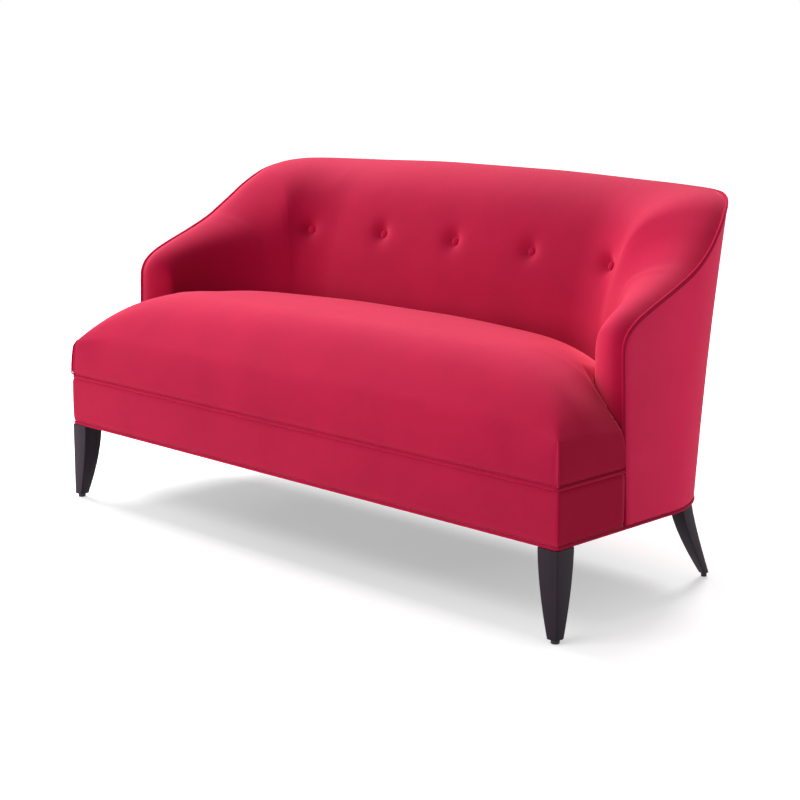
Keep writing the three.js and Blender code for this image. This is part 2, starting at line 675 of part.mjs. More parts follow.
// Seat: a crowned T cushion whose ears reach round the arm fronts
const innerHalf = SEATING_WIDTH / 2 - SEAT_CLEARANCE;
const seatHalf = WIDTH / 2 - WELT_PROUD;
const seatBack = SEATING_DEPTH - SEAT_CLEARANCE;
const earBack = ARM_SETBACK - EAR_HOLLOW - SEAT_CLEARANCE;
const seatFoot = SEAT_SEAM + EDGE_INSET;
const earLines = EAR_SHARES.length;
const frontRows = SEAT_FRONT_SHARES.length;

// Half width of the seat between the arms, drawn in by an inset
function seatHalfWidth(y, inset) {
  const radius = SEATING_CORNER - SEAT_CLEARANCE - inset;
  const past = clamp(y - (SEATING_DEPTH - SEATING_CORNER), 0, radius);
  return SEATING_WIDTH / 2 - SEATING_CORNER + Math.sqrt(radius * radius - past * past);
}

// How far a point of the seat is from the inside face that the seat meets
function toInsideFace(x, y, inset) {
  const radius = SEATING_CORNER - SEAT_CLEARANCE - inset;
  const across = Math.max(0, Math.abs(x) - (SEATING_WIDTH / 2 - SEATING_CORNER));
  const back = Math.max(0, y - (SEATING_DEPTH - SEATING_CORNER));
  return Math.max(0, radius - Math.hypot(across, back));
}

// An upright wall, eased at its top, then a dome that levels out at the end of the roll
function crownHeight(depth) {
  const out = clamp(1 - depth / SEAT_ROLL, 0, 1);
  const ease = clamp(1 - depth / SEAT_WALL_ROUND, 0, 1);
  return SEAT_WALL * Math.sqrt(1 - ease * ease) + SEAT_DOME * (1 - out ** SEAT_ROLL_POWER);
}

// The crown is fuller along the front, and sinks to a crease along the arms and back
function seatHeight(x, y, inset) {
  const ear = smooth(y, EAR_FULLNESS_START_SHARE * ARM_SETBACK, ARM_SETBACK);
  const fromSide = Math.max(seatHalf - inset - Math.abs(x), 0) / lerp(FRONT_FULLNESS_SHARE, SIDE_FULLNESS_SHARE, ear);
  const fromFront = Math.max(y - WELT_PROUD - inset, 0) / FRONT_FULLNESS_SHARE;
  const power = Math.log(2) / Math.log(1 / FRONT_FULLNESS_SHARE);
  const near = Math.min(fromSide, fromFront);
  const closeness = near / Math.max(fromSide, fromFront, GAP);
  const crown = crownHeight(near * (1 + closeness ** power) ** (-1 / power));
  const corner = smooth(Math.abs(x), CREASE_CORNER_START, CREASE_CORNER_END);
  const width = lerp(BACK_CREASE_WIDTH, CORNER_CREASE_WIDTH, corner);
  const fall = Math.exp(-((toInsideFace(x, y, inset) / width) ** CREASE_POWER));
  const depth = lerp(BACK_CREASE_DEPTH, CORNER_CREASE_DEPTH, corner);
  const crease = depth * fall * smooth(y, CREASE_FRONT_START, CREASE_FRONT_END);
  return seatFoot + crown - crease - inset;
}

// Grid of the seat's surface, drawn in by an inset and never below a floor
function seatSurface(inset, floor) {
  const inner = innerHalf - inset;
  const sideLines = [...SEAT_SIDE_SHARES.map((share) => share * inner),
    ...EAR_SHARES.map((share) => lerp(inner, seatHalf - inset, share))];
  const lines = [...sideLines.slice(1).reverse().map((x) => -x), ...sideLines];
  return lines.map((line) => {
    const ear = smooth(Math.abs(line), inner, seatHalf - inset) ** EAR_POWER;
    const frontEnd = lerp(earBack, bandEnd, ear) - inset;
    const frontPoints = SEAT_FRONT_SHARES.map((share) => [line, lerp(WELT_PROUD + inset, frontEnd, share)]);
    const backPoints = SEAT_BACK_SHARES.map((share) => {
      const y = lerp(earBack, seatBack, share) - inset;
      return [(clamp(line, -inner, inner) * seatHalfWidth(y, inset)) / inner, y];
    });
    const plan = [...frontPoints, ...backPoints];
    return plan.map(([x, y]) => vec(x, y, Math.max(seatHeight(x, y, inset), floor)));
  });
}

const seatTop = seatSurface(0, seatFoot);
const seatCell = (i, j) => j < frontRows - 1 || (i >= earLines && i < seatTop.length - 1 - earLines);
const seatMiddle = (seatTop.length - 1) / 2;
add('seat_cover', slab(seatTop, seatSurface(CLOTH, seatFoot), seatMiddle, seatCell), VELVET);
const foamTop = seatSurface(CLOTH + FOAM_GAP, seatFoot + FOAM_LIP);
const foamBottom = foamTop.map((line) => line.map(({ x, y }) => vec(x, y, seatFoot)));
add('seat_foam', slab(foamTop, foamBottom, seatMiddle, seatCell), FOAM);

// Hessian under the seat foam, with the seat's T plan
const hessianTop = seatFoot - GAP;
const hessianHalf = RAIL_FACE - HESSIAN_INSET;
const hessianOutline = (side) => [
  [hessianHalf, RAIL_FRONT + HESSIAN_INSET], [hessianHalf, earBack], [innerHalf, earBack],
  ...SEAT_BACK_SHARES.map((share) => {
    const y = lerp(earBack, seatBack, share);
    return [seatHalfWidth(y, 0), y];
  }),
].map(([x, y]) => new THREE.Vector2(side * x, y));
const hessian = prism([...hessianOutline(1), ...hessianOutline(-1).reverse()], hessianTop - HESSIAN, HESSIAN);
add('spring_cover', hessian, HESSIAN_CLOTH);

// Seat frame
const blockX = BLOCK_FACE - CORNER_BLOCK;
const blockBack = BEHIND_WELT + CORNER_BLOCK;
const rearCentreX = WIDTH / 2 - REAR_CORNER;
const rearCentreY = BASE_DEPTH - REAR_CORNER;
const rearOuter = REAR_CORNER - BEHIND_WELT - PADDING;
const rearInner = rearOuter - REAR_BLOCK_THICKNESS;

const rearRing = (radius) => quarter(rearCentreX, rearCentreY, radius, 0, REAR_STEPS);

// How far back the rear legs have curved at height z
function sabre(z) {
  return REAR_LEG_KICK_DEPTH * ((LEG_TOP - z) / (LEG_TOP - LEG_FOOT)) ** SABRE_POWER;
}

// Hanger bolts run from each leg up into the block above it
function boltHole(x, y, bottom, top) {
  const hole = new THREE.CylinderGeometry(BOLT_RADIUS + GAP, BOLT_RADIUS + GAP, top - bottom, BOLT_SIDES);
  hole.rotateX(Math.PI / 2);
  hole.translate(x, y, (top + bottom) / 2);
  return hole;
}

const boltBottom = LEG_TOP - BOLT_IN_LEG;
const boltTop = BLOCK_BOTTOM + BOLT_IN_BLOCK;
const boltInset = (BEHIND_WELT + FRONT_LEG_TOP) / 2;
const frontBolt = [WIDTH / 2 - boltInset, boltInset];
const rearLegX = WIDTH / 2 - REAR_LEG_INSET;
const rearLegY = BASE_DEPTH - REAR_LEG_SETBACK;
const rearBolt = [rearLegX, rearLegY + sabre(boltBottom) / 2];
const blockHeight = RAIL_TOP - BLOCK_BOTTOM;
const railPlan = {
  front: rectangle(GAP - blockX, blockX - GAP, RAIL_FRONT, RAIL_FRONT + RAIL_THICKNESS),
  back: rectangle(GAP - rearCentreX, rearCentreX - GAP, RAIL_BACK - RAIL_THICKNESS, RAIL_BACK),
};
add('front_rail', prism(railPlan.front, RAIL_BOTTOM, RAIL_HEIGHT), FRAME_WOOD);
add('back_rail', prism(railPlan.back, RAIL_BOTTOM, RAIL_HEIGHT), FRAME_WOOD);
const centreRail = rectangle(-RAIL_THICKNESS / 2, RAIL_THICKNESS / 2, RAIL_FRONT + RAIL_THICKNESS + GAP,
  RAIL_BACK - RAIL_THICKNESS - GAP);
add('centre_rail', prism(centreRail, RAIL_BOTTOM, CENTRE_RAIL_HEIGHT), FRAME_WOOD);

for (const [hand, side] of sides) {
  const sideRail = rectangle(RAIL_FACE - RAIL_THICKNESS, RAIL_FACE, blockBack + GAP, rearCentreY - GAP);
  add(`side_rail_${hand}`, flip(prism(sideRail, RAIL_BOTTOM, RAIL_HEIGHT), side), FRAME_WOOD);
  const frontBlock = prism(rectangle(blockX, BLOCK_FACE, BEHIND_WELT, blockBack), BLOCK_BOTTOM, blockHeight);
  const frontHole = boltHole(...frontBolt, BLOCK_BOTTOM - GAP, boltTop + GAP);
  add(`front_corner_block_${hand}`, flip(cut(frontBlock, frontHole), side), FRAME_WOOD);
  const rearPlan = [...rearRing(rearOuter), ...rearRing(rearInner).reverse()];
  const rearBlock = prism(rearPlan, BLOCK_BOTTOM, blockHeight);
  const rearHole = boltHole(...rearBolt, BLOCK_BOTTOM - GAP, boltTop + GAP);
  add(`rear_corner_block_${hand}`, flip(cut(rearBlock, rearHole), side), FRAME_WOOD);
}

// Sinuous springs from the front rail to the back rail, arched up to the hessian
const springPitch = (2 * (rearCentreX + SPRING_SPREAD)) / (SPRING_COUNT - 1);
const springArch = hessianTop - HESSIAN - GAP - (RAIL_TOP + GAP + 2 * SPRING_WIRE);
for (let n = 0; n < SPRING_COUNT; n++) {
  const x = (n - (SPRING_COUNT - 1) / 2) * springPitch;
  const start = RAIL_FRONT + RAIL_THICKNESS / 2;
  const end = RAIL_BACK - RAIL_THICKNESS / 2;
  const base = RAIL_TOP + GAP + SPRING_WIRE;
  const points = [];
  for (let k = 0; k < SPRING_BARS; k++) {
    const share = k / (SPRING_BARS - 1);
    const y = lerp(start, end, share);
    const z = base + springArch * Math.sin(Math.PI * share);
    const swing = k % 2 ? 1 : -1;
    points.push(vec(x - swing * SPRING_REACH, y, z), vec(x + swing * SPRING_REACH, y, z));
  }
  add(`seat_spring_${n + 1}`, cord(points, SPRING_WIRE, WIRE_SIDES), STEEL);
}

// Legs: square sections with eased edges, lofted from the foot up
function legRing(x0, x1, y0, y1, z) {
  const e = LEG_EDGE;
  return [
    vec(x0 + e, y0, z), vec(x1 - e, y0, z), vec(x1, y0 + e, z), vec(x1, y1 - e, z),
    vec(x1 - e, y1, z), vec(x0 + e, y1, z), vec(x0, y1 - e, z), vec(x0, y0 + e, z),
  ];
}

const legLevels = Array.from({ length: LEG_STEPS + 1 }, (_, k) => lerp(LEG_FOOT, LEG_TOP, k / LEG_STEPS));

function frontLeg() {
  return loft(legLevels.map((z) => {
    const up = (z - LEG_FOOT) / (LEG_TOP - LEG_FOOT);
    const side = lerp(FRONT_LEG_FOOT, FRONT_LEG_TOP, 1 - (1 - up) ** LEG_TAPER_POWER);
    return legRing(WIDTH / 2 - side, WIDTH / 2, 0, side, z);
  }));
}

function rearLeg() {
  return loft(legLevels.map((z) => {
    const up = (z - LEG_FOOT) / (LEG_TOP - LEG_FOOT);
    const side = lerp(REAR_LEG_FOOT, REAR_LEG_TOP, 1 - (1 - up) ** LEG_TAPER_POWER) / 2;
    const y = rearLegY + sabre(z);
    return legRing(rearLegX - side, rearLegX + side, y - side, y + side, z);
  }));
}

function glide(radius) {
  const flat = radius - GLIDE_EDGE;
  const profile = [[0, 0], [flat, 0], [radius, GLIDE_EDGE], [radius, GLIDE_HEIGHT], [0, GLIDE_HEIGHT]];
  const geometry = new THREE.LatheGeometry(profile.map(([r, h]) => new THREE.Vector2(r, h)), BOLT_SIDES);
  return geometry.rotateX(Math.PI / 2);
}

function bolt() {
  const geometry = new THREE.CylinderGeometry(BOLT_RADIUS, BOLT_RADIUS, boltTop - boltBottom, BOLT_SIDES);
  return geometry.rotateX(Math.PI / 2);
}

for (const [hand, side] of sides) {
  const legs = [
    ['front', frontLeg(), frontBolt, FRONT_GLIDE_RADIUS,
      [WIDTH / 2 - FRONT_LEG_FOOT / 2, FRONT_LEG_FOOT / 2]],
    ['rear', rearLeg(), rearBolt, REAR_GLIDE_RADIUS, [rearLegX, rearLegY + REAR_LEG_KICK_DEPTH]],
  ];
  for (const [end, leg, [bx, by], radius, [gx, gy]] of legs) {
    const hole = boltHole(bx, by, boltBottom - GAP, LEG_TOP + GAP);
    add(`${end}_leg_${hand}`, flip(cut(leg, hole), side), WOOD);
    add(`${end}_glide_${hand}`, glide(radius), PLASTIC).position.set(side * gx, gy, 0);
    add(`${end}_leg_bolt_${hand}`, bolt(), STEEL).position.set(side * bx, by, (boltTop + boltBottom) / 2);
  }
}

// Dust cloth under the rails, cut out round the corner blocks
function dustOutline() {
  const side = WIDTH / 2 - DUST_INSET;
  const beforeRear = rearCentreY - GAP;
  const front = [[blockX - GAP, DUST_INSET], [blockX - GAP, blockBack + GAP], [side, blockBack + GAP],
    [side, beforeRear], [rearCentreX + rearInner - GAP, beforeRear]];
  const inner = rearRing(rearInner - GAP).slice(1).map(({ x, y }) => [x, y]);
  const right = [...front, ...inner, [rearCentreX - GAP, BASE_DEPTH - DUST_INSET]];
  const points = [...right, ...right.slice().reverse().map(([x, y]) => [-x, y])];
  return points.map(([x, y]) => new THREE.Vector2(x, y));
}

const dustBottom = RAIL_BOTTOM - GAP - DUST_CLOTH;
add('dust_cover', prism(dustOutline(), dustBottom, DUST_CLOTH), BLACK_CLOTH);

// Arm and back frame
function railRing(s) {
  const rear = smooth(s, topPlan.side, ARM_SWEEP);
  const { z, es, ez } = edgeAtRun(s);
  const drop = lerp(ARM_RAIL_DROP, TOP_RAIL_DROP, rear);
  const tall = lerp(ARM_RAIL_HEIGHT, TOP_RAIL_HEIGHT, rear) / 2;
  const wide = lerp(ARM_RAIL_WIDTH, TOP_RAIL_WIDTH, rear);
  const corner = (down, across) => {
    const depth = Math.max(shellDepth(s, z - down), WELT_PROUD) + CLOTH + PADDING;
    return place(s - es * down, z - ez * down, depth + across);
  };
  const [upper, lower] = [drop - tall, drop + tall];
  return [corner(upper, 0), corner(lower, 0), corner(lower, wide), corner(upper, wide)];
}

const railRuns = (from, to, steps) => Array.from({ length: steps + 1 }, (_, k) => lerp(from, to, k / steps));
for (const [hand, side] of sides) {
  const armRail = loft(railRuns(ARM_RAIL_START, RAIL_JOINT - GAP, ARM_RAIL_STEPS).map(railRing));
  add(`arm_rail_${hand}`, flip(armRail, side), FRAME_WOOD);
}

// Underside of the rails over the corner post
function cornerTop() {
  const near = [-1, 0, 1].flatMap((k) => railRing(RAIL_JOINT + k * CORNER_POST));
  return Math.min(...near.map(({ z }) => z)) - GAP;
}

// Upright between two levels, square to the floor plan and leaning from one place to another
function post(foot, head, width, depth) {
  const ring = ([x, y, z]) => {
    return rectangle(x - width / 2, x + width / 2, y - depth / 2, y + depth / 2).map((p) => vec(p.x, p.y, z));
  };
  return loft([ring(foot), ring(head)]);
}

const postFoot = RAIL_TOP + GAP;
const armPostY = ARM_SETBACK + ARM_RAIL_START + ARM_POST_DEPTH / 2;
const armPostX = (z) => TOP_WIDTH / 2 + frontLean(z) - WELT_PROUD - CLOTH - PADDING - ARM_POST_WIDTH / 2;
const jointRing = railRing(RAIL_JOINT);
const armPostTop = Math.min(...railRing(ARM_RAIL_START).map(({ z }) => z)) - GAP;
const underJoint = jointRing[1].clone().lerp(jointRing[2], 0.5);
const cornerHead = [underJoint.x, underJoint.y, cornerTop()];
const blockMiddle = (rearInner + rearOuter) / 2;
const cornerFoot = [rearCentreX + blockMiddle * Math.cos(CORNER_POST_ANGLE),
  rearCentreY + blockMiddle * Math.sin(CORNER_POST_ANGLE)];
for (const [hand, side] of sides) {
  const armPost = post([armPostX(postFoot), armPostY, postFoot], [armPostX(armPostTop), armPostY, armPostTop],
    ARM_POST_WIDTH, ARM_POST_DEPTH);
  add(`arm_post_${hand}`, flip(armPost, side), FRAME_WOOD);
  const cornerPost = post([...cornerFoot, postFoot], cornerHead, CORNER_POST, CORNER_POST);
  add(`corner_post_${hand}`, flip(cornerPost, side), FRAME_WOOD);
}

const topRailRing = railRing(topPlan.total);
const topRailBottom = topRailRing[1].z - GAP;
const backPostHead = topRailRing[1].y - BACK_POST_DEPTH / 2;
const backPostFoot = RAIL_BACK - RAIL_THICKNESS / 2;
const backPostX = 2 * springPitch;
for (const [name, x] of [['right', backPostX], ['centre', 0], ['left', -backPostX]]) {
  const [foot, head] = [[x, backPostFoot, postFoot], [x, backPostHead, topRailBottom]];
  const upright = post(foot, head, BACK_POST_WIDTH, BACK_POST_DEPTH);
  add(`back_post_${name}`, upright, FRAME_WOOD);
}

const topRailHalf = [...railRuns(RAIL_JOINT + GAP, seam, TOP_RAIL_STEPS), topPlan.total].map(railRing);
add('back_top_rail', loft(mirrorRibs(topRailHalf)), FRAME_WOOD);

// The middle of the settee's box stands over the origin
const middleOfBox = new THREE.Box3().setFromObject(settee).getCenter(vec(0, 0, 0));
settee.position.set(-middleOfBox.x, -middleOfBox.y, 0);

export default settee;
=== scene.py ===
"""A tight-backed velvet settee: looks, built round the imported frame.

Metres, +Z up. The front faces -Y and "left" is -X, seen from in front. Sizes are measured
from the settee's front plane and the floor, and moved into the frame when a mesh is made.
"""

import json
import math

import bpy
import numpy as np
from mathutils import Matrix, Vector


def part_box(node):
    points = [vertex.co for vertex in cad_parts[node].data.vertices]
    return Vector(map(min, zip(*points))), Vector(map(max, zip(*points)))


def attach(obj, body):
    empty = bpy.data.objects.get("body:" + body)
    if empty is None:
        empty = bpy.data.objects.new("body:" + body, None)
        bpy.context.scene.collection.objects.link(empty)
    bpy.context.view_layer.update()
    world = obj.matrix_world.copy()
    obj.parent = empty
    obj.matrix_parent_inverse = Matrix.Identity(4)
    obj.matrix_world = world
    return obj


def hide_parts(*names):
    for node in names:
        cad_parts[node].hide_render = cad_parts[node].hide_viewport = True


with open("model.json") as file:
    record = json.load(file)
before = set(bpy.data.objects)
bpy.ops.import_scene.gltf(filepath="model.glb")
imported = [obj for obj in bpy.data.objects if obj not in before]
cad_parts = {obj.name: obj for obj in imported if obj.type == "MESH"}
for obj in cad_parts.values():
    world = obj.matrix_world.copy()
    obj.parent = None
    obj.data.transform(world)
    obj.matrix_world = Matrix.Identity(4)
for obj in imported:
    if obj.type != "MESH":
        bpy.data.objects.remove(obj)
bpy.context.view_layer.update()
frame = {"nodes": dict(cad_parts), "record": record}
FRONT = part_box("base_welt")[0][1]

# Overall sizes
WIDTH = 1.5
BASE_DEPTH = 0.564
LEG_HEIGHT = 0.1785
BAND_HEIGHT = 0.115
REAR_CORNER = 0.214
FRONT_CORNER = 0.003
SEAT_SEAM = LEG_HEIGHT + BAND_HEIGHT

# Top edge of the arms and back
ARM_LEAN = 0.013
LEAN_FADE = 0.03
ARM_HEIGHT = 0.512
BACK_HEIGHT = 0.777
BACK_RAKE = 0.165
TOP_CORNER = 0.304
ARM_SETBACK = 0.202
ARM_SWEEP = 0.54
SHELL_BOW = 0.004
TOP_WIDTH = WIDTH - 2 * ARM_LEAN
TOP_BACK = BASE_DEPTH + BACK_RAKE
SWEEP_SHARES = [
    (0, 0), (0.003, 0.06), (0.02, 0.135), (0.067, 0.215), (0.15, 0.294), (0.281, 0.4), (0.398, 0.509),
    (0.506, 0.653), (0.593, 0.788), (0.687, 0.906), (0.78, 0.967), (0.885, 0.994), (1, 1),
]

# Inside face of the arms and back; a roll is its drop, its crown and its reach
SEATING_WIDTH = 1.312
SEATING_DEPTH = 0.478
SEATING_CORNER = 0.29
LEAN_HEIGHT = 0.44
BACK_LEAN = 0.061
TUCK_HEIGHT = 0.296
COVER_FOOT = 0.334
ARM_ROLL = (0.024, 0.022, 0.034)
BACK_ROLL = (0.100, 0.046, 0.105)
CROWN_RISES = (0.6, 1.0)
ROLL_DEEPENS = (0.03, 0.34)
ROLL_EASE = (0.02, 0.008)
ARM_PUFF = 0.009
PUFF_FADE_SHARE = 0.4
ROLL_DROP = 0.077
ROLL_FOOT = BACK_HEIGHT - ROLL_DROP
FAN_SPREAD = 0.048
FAN_FOOT = 0.008
CROWN_SET_SHARE = 0.17
FACE_START_SHARE = 0.165
ARM_PAD = 0.02
BACK_PAD = 0.047
PAD_RIM = 0.007
PAD_FULL_SHARE = 0.45
REAR_PAD_SHARES = (0.35, 0.65)
INSIDE_PRESSURE = 2.0
INSIDE_SWELL = 0.003

# Cloth and cords
CLOTH = 0.0025
WELT_RADIUS = 0.0035
WELT_PROUD = 0.0015
GAP = 0.0003
BEHIND_WELT = 2 * WELT_RADIUS + GAP
EDGE_INSET = WELT_RADIUS + GAP
PANEL_FOOT = LEG_HEIGHT + BEHIND_WELT
CORD_UNEVEN_SHARE = 0.03
CORD_WAVES = (1.7, 0.23)

# Buttons; the row's arch is its rise in the middle and its fall from there to the ends
BUTTONS = 5
BUTTON_ROW = 0.6334
BUTTON_PITCH = 0.2275
BUTTON_ARCH = (0.005, 0.01)
BUTTON_RADIUS = 0.0098
BUTTON_DOME = 0.0052
BUTTON_PROUD_SHARE = 0.62
BUTTON_GATHERS = (9, 0.012)
TUFT_DEPTH = 0.019
TUFT_RADIUS = 0.026
TUFT_HELD_SHARE = 0.7

# Seat; CREASE_DEPTH and CREASE_WIDTH go from the middle of the back to its corners
SEAT_WALL = 0.074
SIDE_WALL_ROUND = 0.009
FRONT_WALL_ROUND = 0.03
SEAT_DOME = 0.128
SEAT_ROLL = 0.217
SEAT_ROLL_POWER = 1.96
FRONT_FULLNESS = 0.744
SIDE_FULLNESS = 0.887
CORNER_REACH = 0.12
CREASE_DEPTH = (0.048, 0.072)
CREASE_WIDTH = (0.049, 0.086)
CREASE_POWER = 1.3
CREASE_CORNER = (0.08, 0.56)
CREASE_FRONT = (ARM_SETBACK, 0.394)
TUCK = (0.013, 0.009)
TUCK_ONSET = 0.004
SETTLED = (-0.53, 0.255)
SETTLED_REACH = 0.06
SETTLED_DEPTH = 0.006
SEAT_CLEARANCE = 0.0035
SEAM_RADIUS = 0.0018
SEAM_PROUD = 0.0008
SEAT_GROOVE = 0.0028
GROOVE_RISE = 0.005
BAND_GROOVE = 0.003
BAND_GROOVE_POWER = 14
BAND_FULLNESS = 0.0009
PUCKER_DEPTH = 0.0014
PUCKER_PLACE = 0.01
PUCKER_WIDTH = 0.005
PUCKER_ONSET = 0.02
PUCKER_TOP_SHARES = (0.75, 1.25)
PUCKER_REACH = (0.02, 0.05)
SEAM_HEIGHT = 0.083
SEAM_SINK = 0.0032
SEAM_ENDS = (0.004, 0.014)
END_GROOVE_REACH = 0.005
SEAM_MARGIN = 0.002
BAND_STEP = 0.004
EAR_START = 0.09
EAR_SINK = 0.0125
EAR_SINK_FADE = (0.05, 0.115)
EAR_SINK_EDGE = 0.003
EAR_LEVEL = 0.43
SEAT_PRESSURE = 3.0
SEAT_SWELL = 0.004
SEAT_LEAST_RISE = 0.0004
HELD_CORNER = 0.006
HELD_FOOT = 0.01
AT_EDGE = 0.001
TINY = 1e-7

# Legs, square, by the side at the foot and at the head
FRONT_LEG = (0.0229, 0.0487)
REAR_LEG = (0.015, 0.034)
REAR_LEG_INSET = (0.058, 0.114)
REAR_LEG_PLACE = (WIDTH / 2 - REAR_LEG_INSET[0], BASE_DEPTH - REAR_LEG_INSET[1])
REAR_LEG_KICK = 0.09
LEG_EDGE = 0.0022
LEG_TAPER_POWER = 1.7
SABRE_POWER = 1.3
GLIDE_HEIGHT = 0.008
GLIDE_EDGE = 0.0015
GLIDE_BEVEL_SHARE = 0.3
GLIDE_RADII = {"front": 0.0085, "rear": 0.006}

# Mesh densities
COLUMN_STEP = 0.0072
ROLL_ROWS = 22
FACE_ROWS = 52
EDGE_SAMPLES = 40
NOSE_STEP = 0.004
NOSE_COLUMNS = 40
PANEL_STEP = 0.011
PANEL_ROWS = 24
BAND_ROWS = 40
FRONT_CORNER_STEPS = 7
REAR_CORNER_STEPS = 30
SEAT_STEP = 0.011
EAR_STEP_SHARE = 0.7
FRONT_STEP_SHARE = 0.8
PROFILE_SAMPLES = 4000
EDGE_CROWDING = 4
CORD_SIDES = 12
CORD_STEP = 0.006
SEAM_SIDES = 8
SEAM_ROWS = 24
SEAM_SAMPLES = 200
BUTTON_SIDES = 36
LEG_ROWS = 40
LEG_EDGE_STEPS = 5
GLIDE_SIDES = 32
SIMULATION_FRAMES = 20
EASE_STEP = 0.002
SWELL_SMOOTHING = 8
EDGE_SMOOTHING = 3

# Painted light and shade, worked out from the cloth's normals and places: where each part of it fades in,
# then what it does to tone and depth of colour
PAINTED_LEFT = (-0.6, 0.2)
PAINTED_RIGHT = (0.3, 0.65)
PAINTED_REAR = (0.2, 0.5)
PAINTED_OUTER = (0.1, 0.6)
PAINTED_FACING_RIGHT = (0.2, 0.7)
SHADE_DEEPENS = (0.0, 0.55)
SHADE_CROWN = (0.55, 0.95)
PANEL_SHADE_TONE = 0.5
REAR_TONE = 0.3
SIDE_TONE = 0.4
RIGHT_TONE = 0.36
OUTER_TONE = 0.3
TOP_TONE = 0.3
PLAIN_DEPTH = 0.5
SIDE_DEPTH = 0.5
RIGHT_DEPTH = 0.3
OUTER_DEPTH = 0.6
# The deep, dark colour that is mixed in as painted shade
PAINTED_SHADE_COLOR = (0.385, 0.0004, 0.031, 1)

# Scales of the velvet's pile, crush and fibre
PILE_SCALE = 7
CRUSH_SCALE = 26
FIBRE_SCALE = 1400

# Camera and surroundings; a lamp is its place, its aim, its size and its power
FOCAL_PIXELS = 1820.04
IMAGE_PIXELS = 800
SHIFT_PIXELS = -50
SENSOR_WIDTH = 36
YAW, PITCH = 0.782644, 0.181707
CAMERA_PLACE = (2.78606, -2.45151 + FRONT, 1.13385)
ROOM_LIGHT = 0.35
SEEN_WHITE = 1.0
FLOOR_SIZE = 60
FLOOR_GLOW = (0.34, 1.0)
FLOOR_GLOW_REACH = (0.3, 3.0)
SETTEE_MIDDLE = (0, 0, 0.4)
SETTEE_BACK = (0, 0, 0.5)
LAMPS = {
    "high_left": ((-2.4, 0.2, 2.8), SETTEE_MIDDLE, (1.6, 1.6), 96),
    "overhead": ((0, 0.2, 3.2), SETTEE_MIDDLE, (2.4, 1.6), 11),
    "high_front": ((0, -2.2, 2.8), SETTEE_MIDDLE, (2.0, 1.2), 24),
    "low_front": ((-0.6, -3.4, 1.0), SETTEE_MIDDLE, (1.6, 1.2), 24),
    "low_left": ((-1.8, -3.3, 0.9), SETTEE_MIDDLE, (1.4, 1.2), 21),
    "high_back": ((-0.8, 2.6, 3.4), SETTEE_BACK, (1.6, 1.2), 85),
}


def smooth(value, low, high):
    """0 below low and 1 above high, with a soft start and end between them."""
    share = np.clip((np.asarray(value, float) - low) / (high - low), 0, 1)
    return share * share * (3 - 2 * share)


def mix(a, b, share):
    return a + (b - a) * share


# Shape of the shell


class HalfPlan:
    """Plan of one half of the shell: a straight side, a quarter circle and a straight back."""

    def __init__(self, half_width, front, back, radius):
        self.half_width, self.front, self.back, self.radius = half_width, front, back, radius
        self.side = back - radius - front
        self.arc = radius * math.pi / 2
        self.total = self.side + self.arc + half_width - radius

    def at(self, s):
        s = np.asarray(s, float)
        angle = np.clip((s - self.side) / self.radius, 0, math.pi / 2)
        nx, ny = np.cos(angle), np.sin(angle)
        x = self.half_width - self.radius + self.radius * nx
        y = self.back - self.radius + self.radius * ny
        x = np.where(s > self.side + self.arc, self.total - s, x)
        y = np.where(s < self.side, self.front + s, y)
        return x, y, nx, ny


top_plan = HalfPlan(TOP_WIDTH / 2, ARM_SETBACK, TOP_BACK, TOP_CORNER)
base_plan = HalfPlan(WIDTH / 2, ARM_SETBACK, BASE_DEPTH, REAR_CORNER)
SEAM_RUN = top_plan.side + top_plan.arc


def front_lean(z):
    """How far the arm front stands outside the top edge's plan at height z."""
    return ARM_LEAN * (1 - np.clip((z - LEG_HEIGHT) / (ARM_HEIGHT - LEG_HEIGHT), 0, 1))


def edge_setback(s, z, inward):
    """Depth inward from the top edge's plan, for what also follows the leaning arm front."""
    return inward - (1 - smooth(s, 0, LEAN_FADE)) * front_lean(z)


def place(s, z, inward):
    """Points at runs along the top edge's plan, at heights z and depths inward from it."""
    x, y, nx, ny = top_plan.at(s)
    return np.stack([x - nx * inward, y - ny * inward, z + 0 * x], axis=-1)


def inside_back(z):
    """How far back the inside face stands at height z."""
    lean = np.maximum(0, z - LEAN_HEIGHT) / (ROLL_FOOT - LEAN_HEIGHT)
    return SEATING_DEPTH + BACK_LEAN * lean * lean


def depth_to_face(s, z):
    """Distance inward from the top edge's plan to the inside face at height z."""
    x, y, nx, ny = top_plan.at(s)
    back = inside_back(z)
    cx, cy = SEATING_WIDTH / 2 - SEATING_CORNER, back - SEATING_CORNER
    tiny = 1e-9
    to_side = (x - SEATING_WIDTH / 2) / np.maximum(nx, tiny)
    to_back = (y - back) / np.maximum(ny, tiny)
    along = (x - cx) * nx + (y - cy) * ny
    square = (x - cx) ** 2 + (y - cy) ** 2 - SEATING_CORNER**2
    to_arc = along - np.sqrt(np.maximum(along**2 - square, 0))
    on_side = (nx > tiny) & (y - to_side * ny <= cy)
    on_back = (ny > tiny) & (x - to_back * nx <= cx)
    return np.where(on_side, to_side, np.where(on_back, to_back, to_arc))


def spline(points):
    """Centripetal Catmull-Rom curve through 2-D points, between the second and the last but one."""
    points = np.asarray(points, float)
    out = []
    for p0, p1, p2, p3 in zip(points, points[1:], points[2:], points[3:]):
        d0, d1, d2 = (math.sqrt(np.linalg.norm(b - a)) for a, b in ((p0, p1), (p1, p2), (p2, p3)))
        t1 = ((p1 - p0) / d0 - (p2 - p0) / (d0 + d1) + (p2 - p1) / d1) * d1
        t2 = ((p2 - p1) / d1 - (p3 - p1) / (d1 + d2) + (p3 - p2) / d2) * d1
        u = np.linspace(0, 1, EDGE_SAMPLES, endpoint=False)[:, None]
        out.append((2 * u**3 - 3 * u**2 + 1) * p1 + (u**3 - 2 * u**2 + u) * t1
                   + (3 * u**2 - 2 * u**3) * p2 + (u**3 - u**2) * t2)
    return np.concatenate([*out, points[-2:-1]])


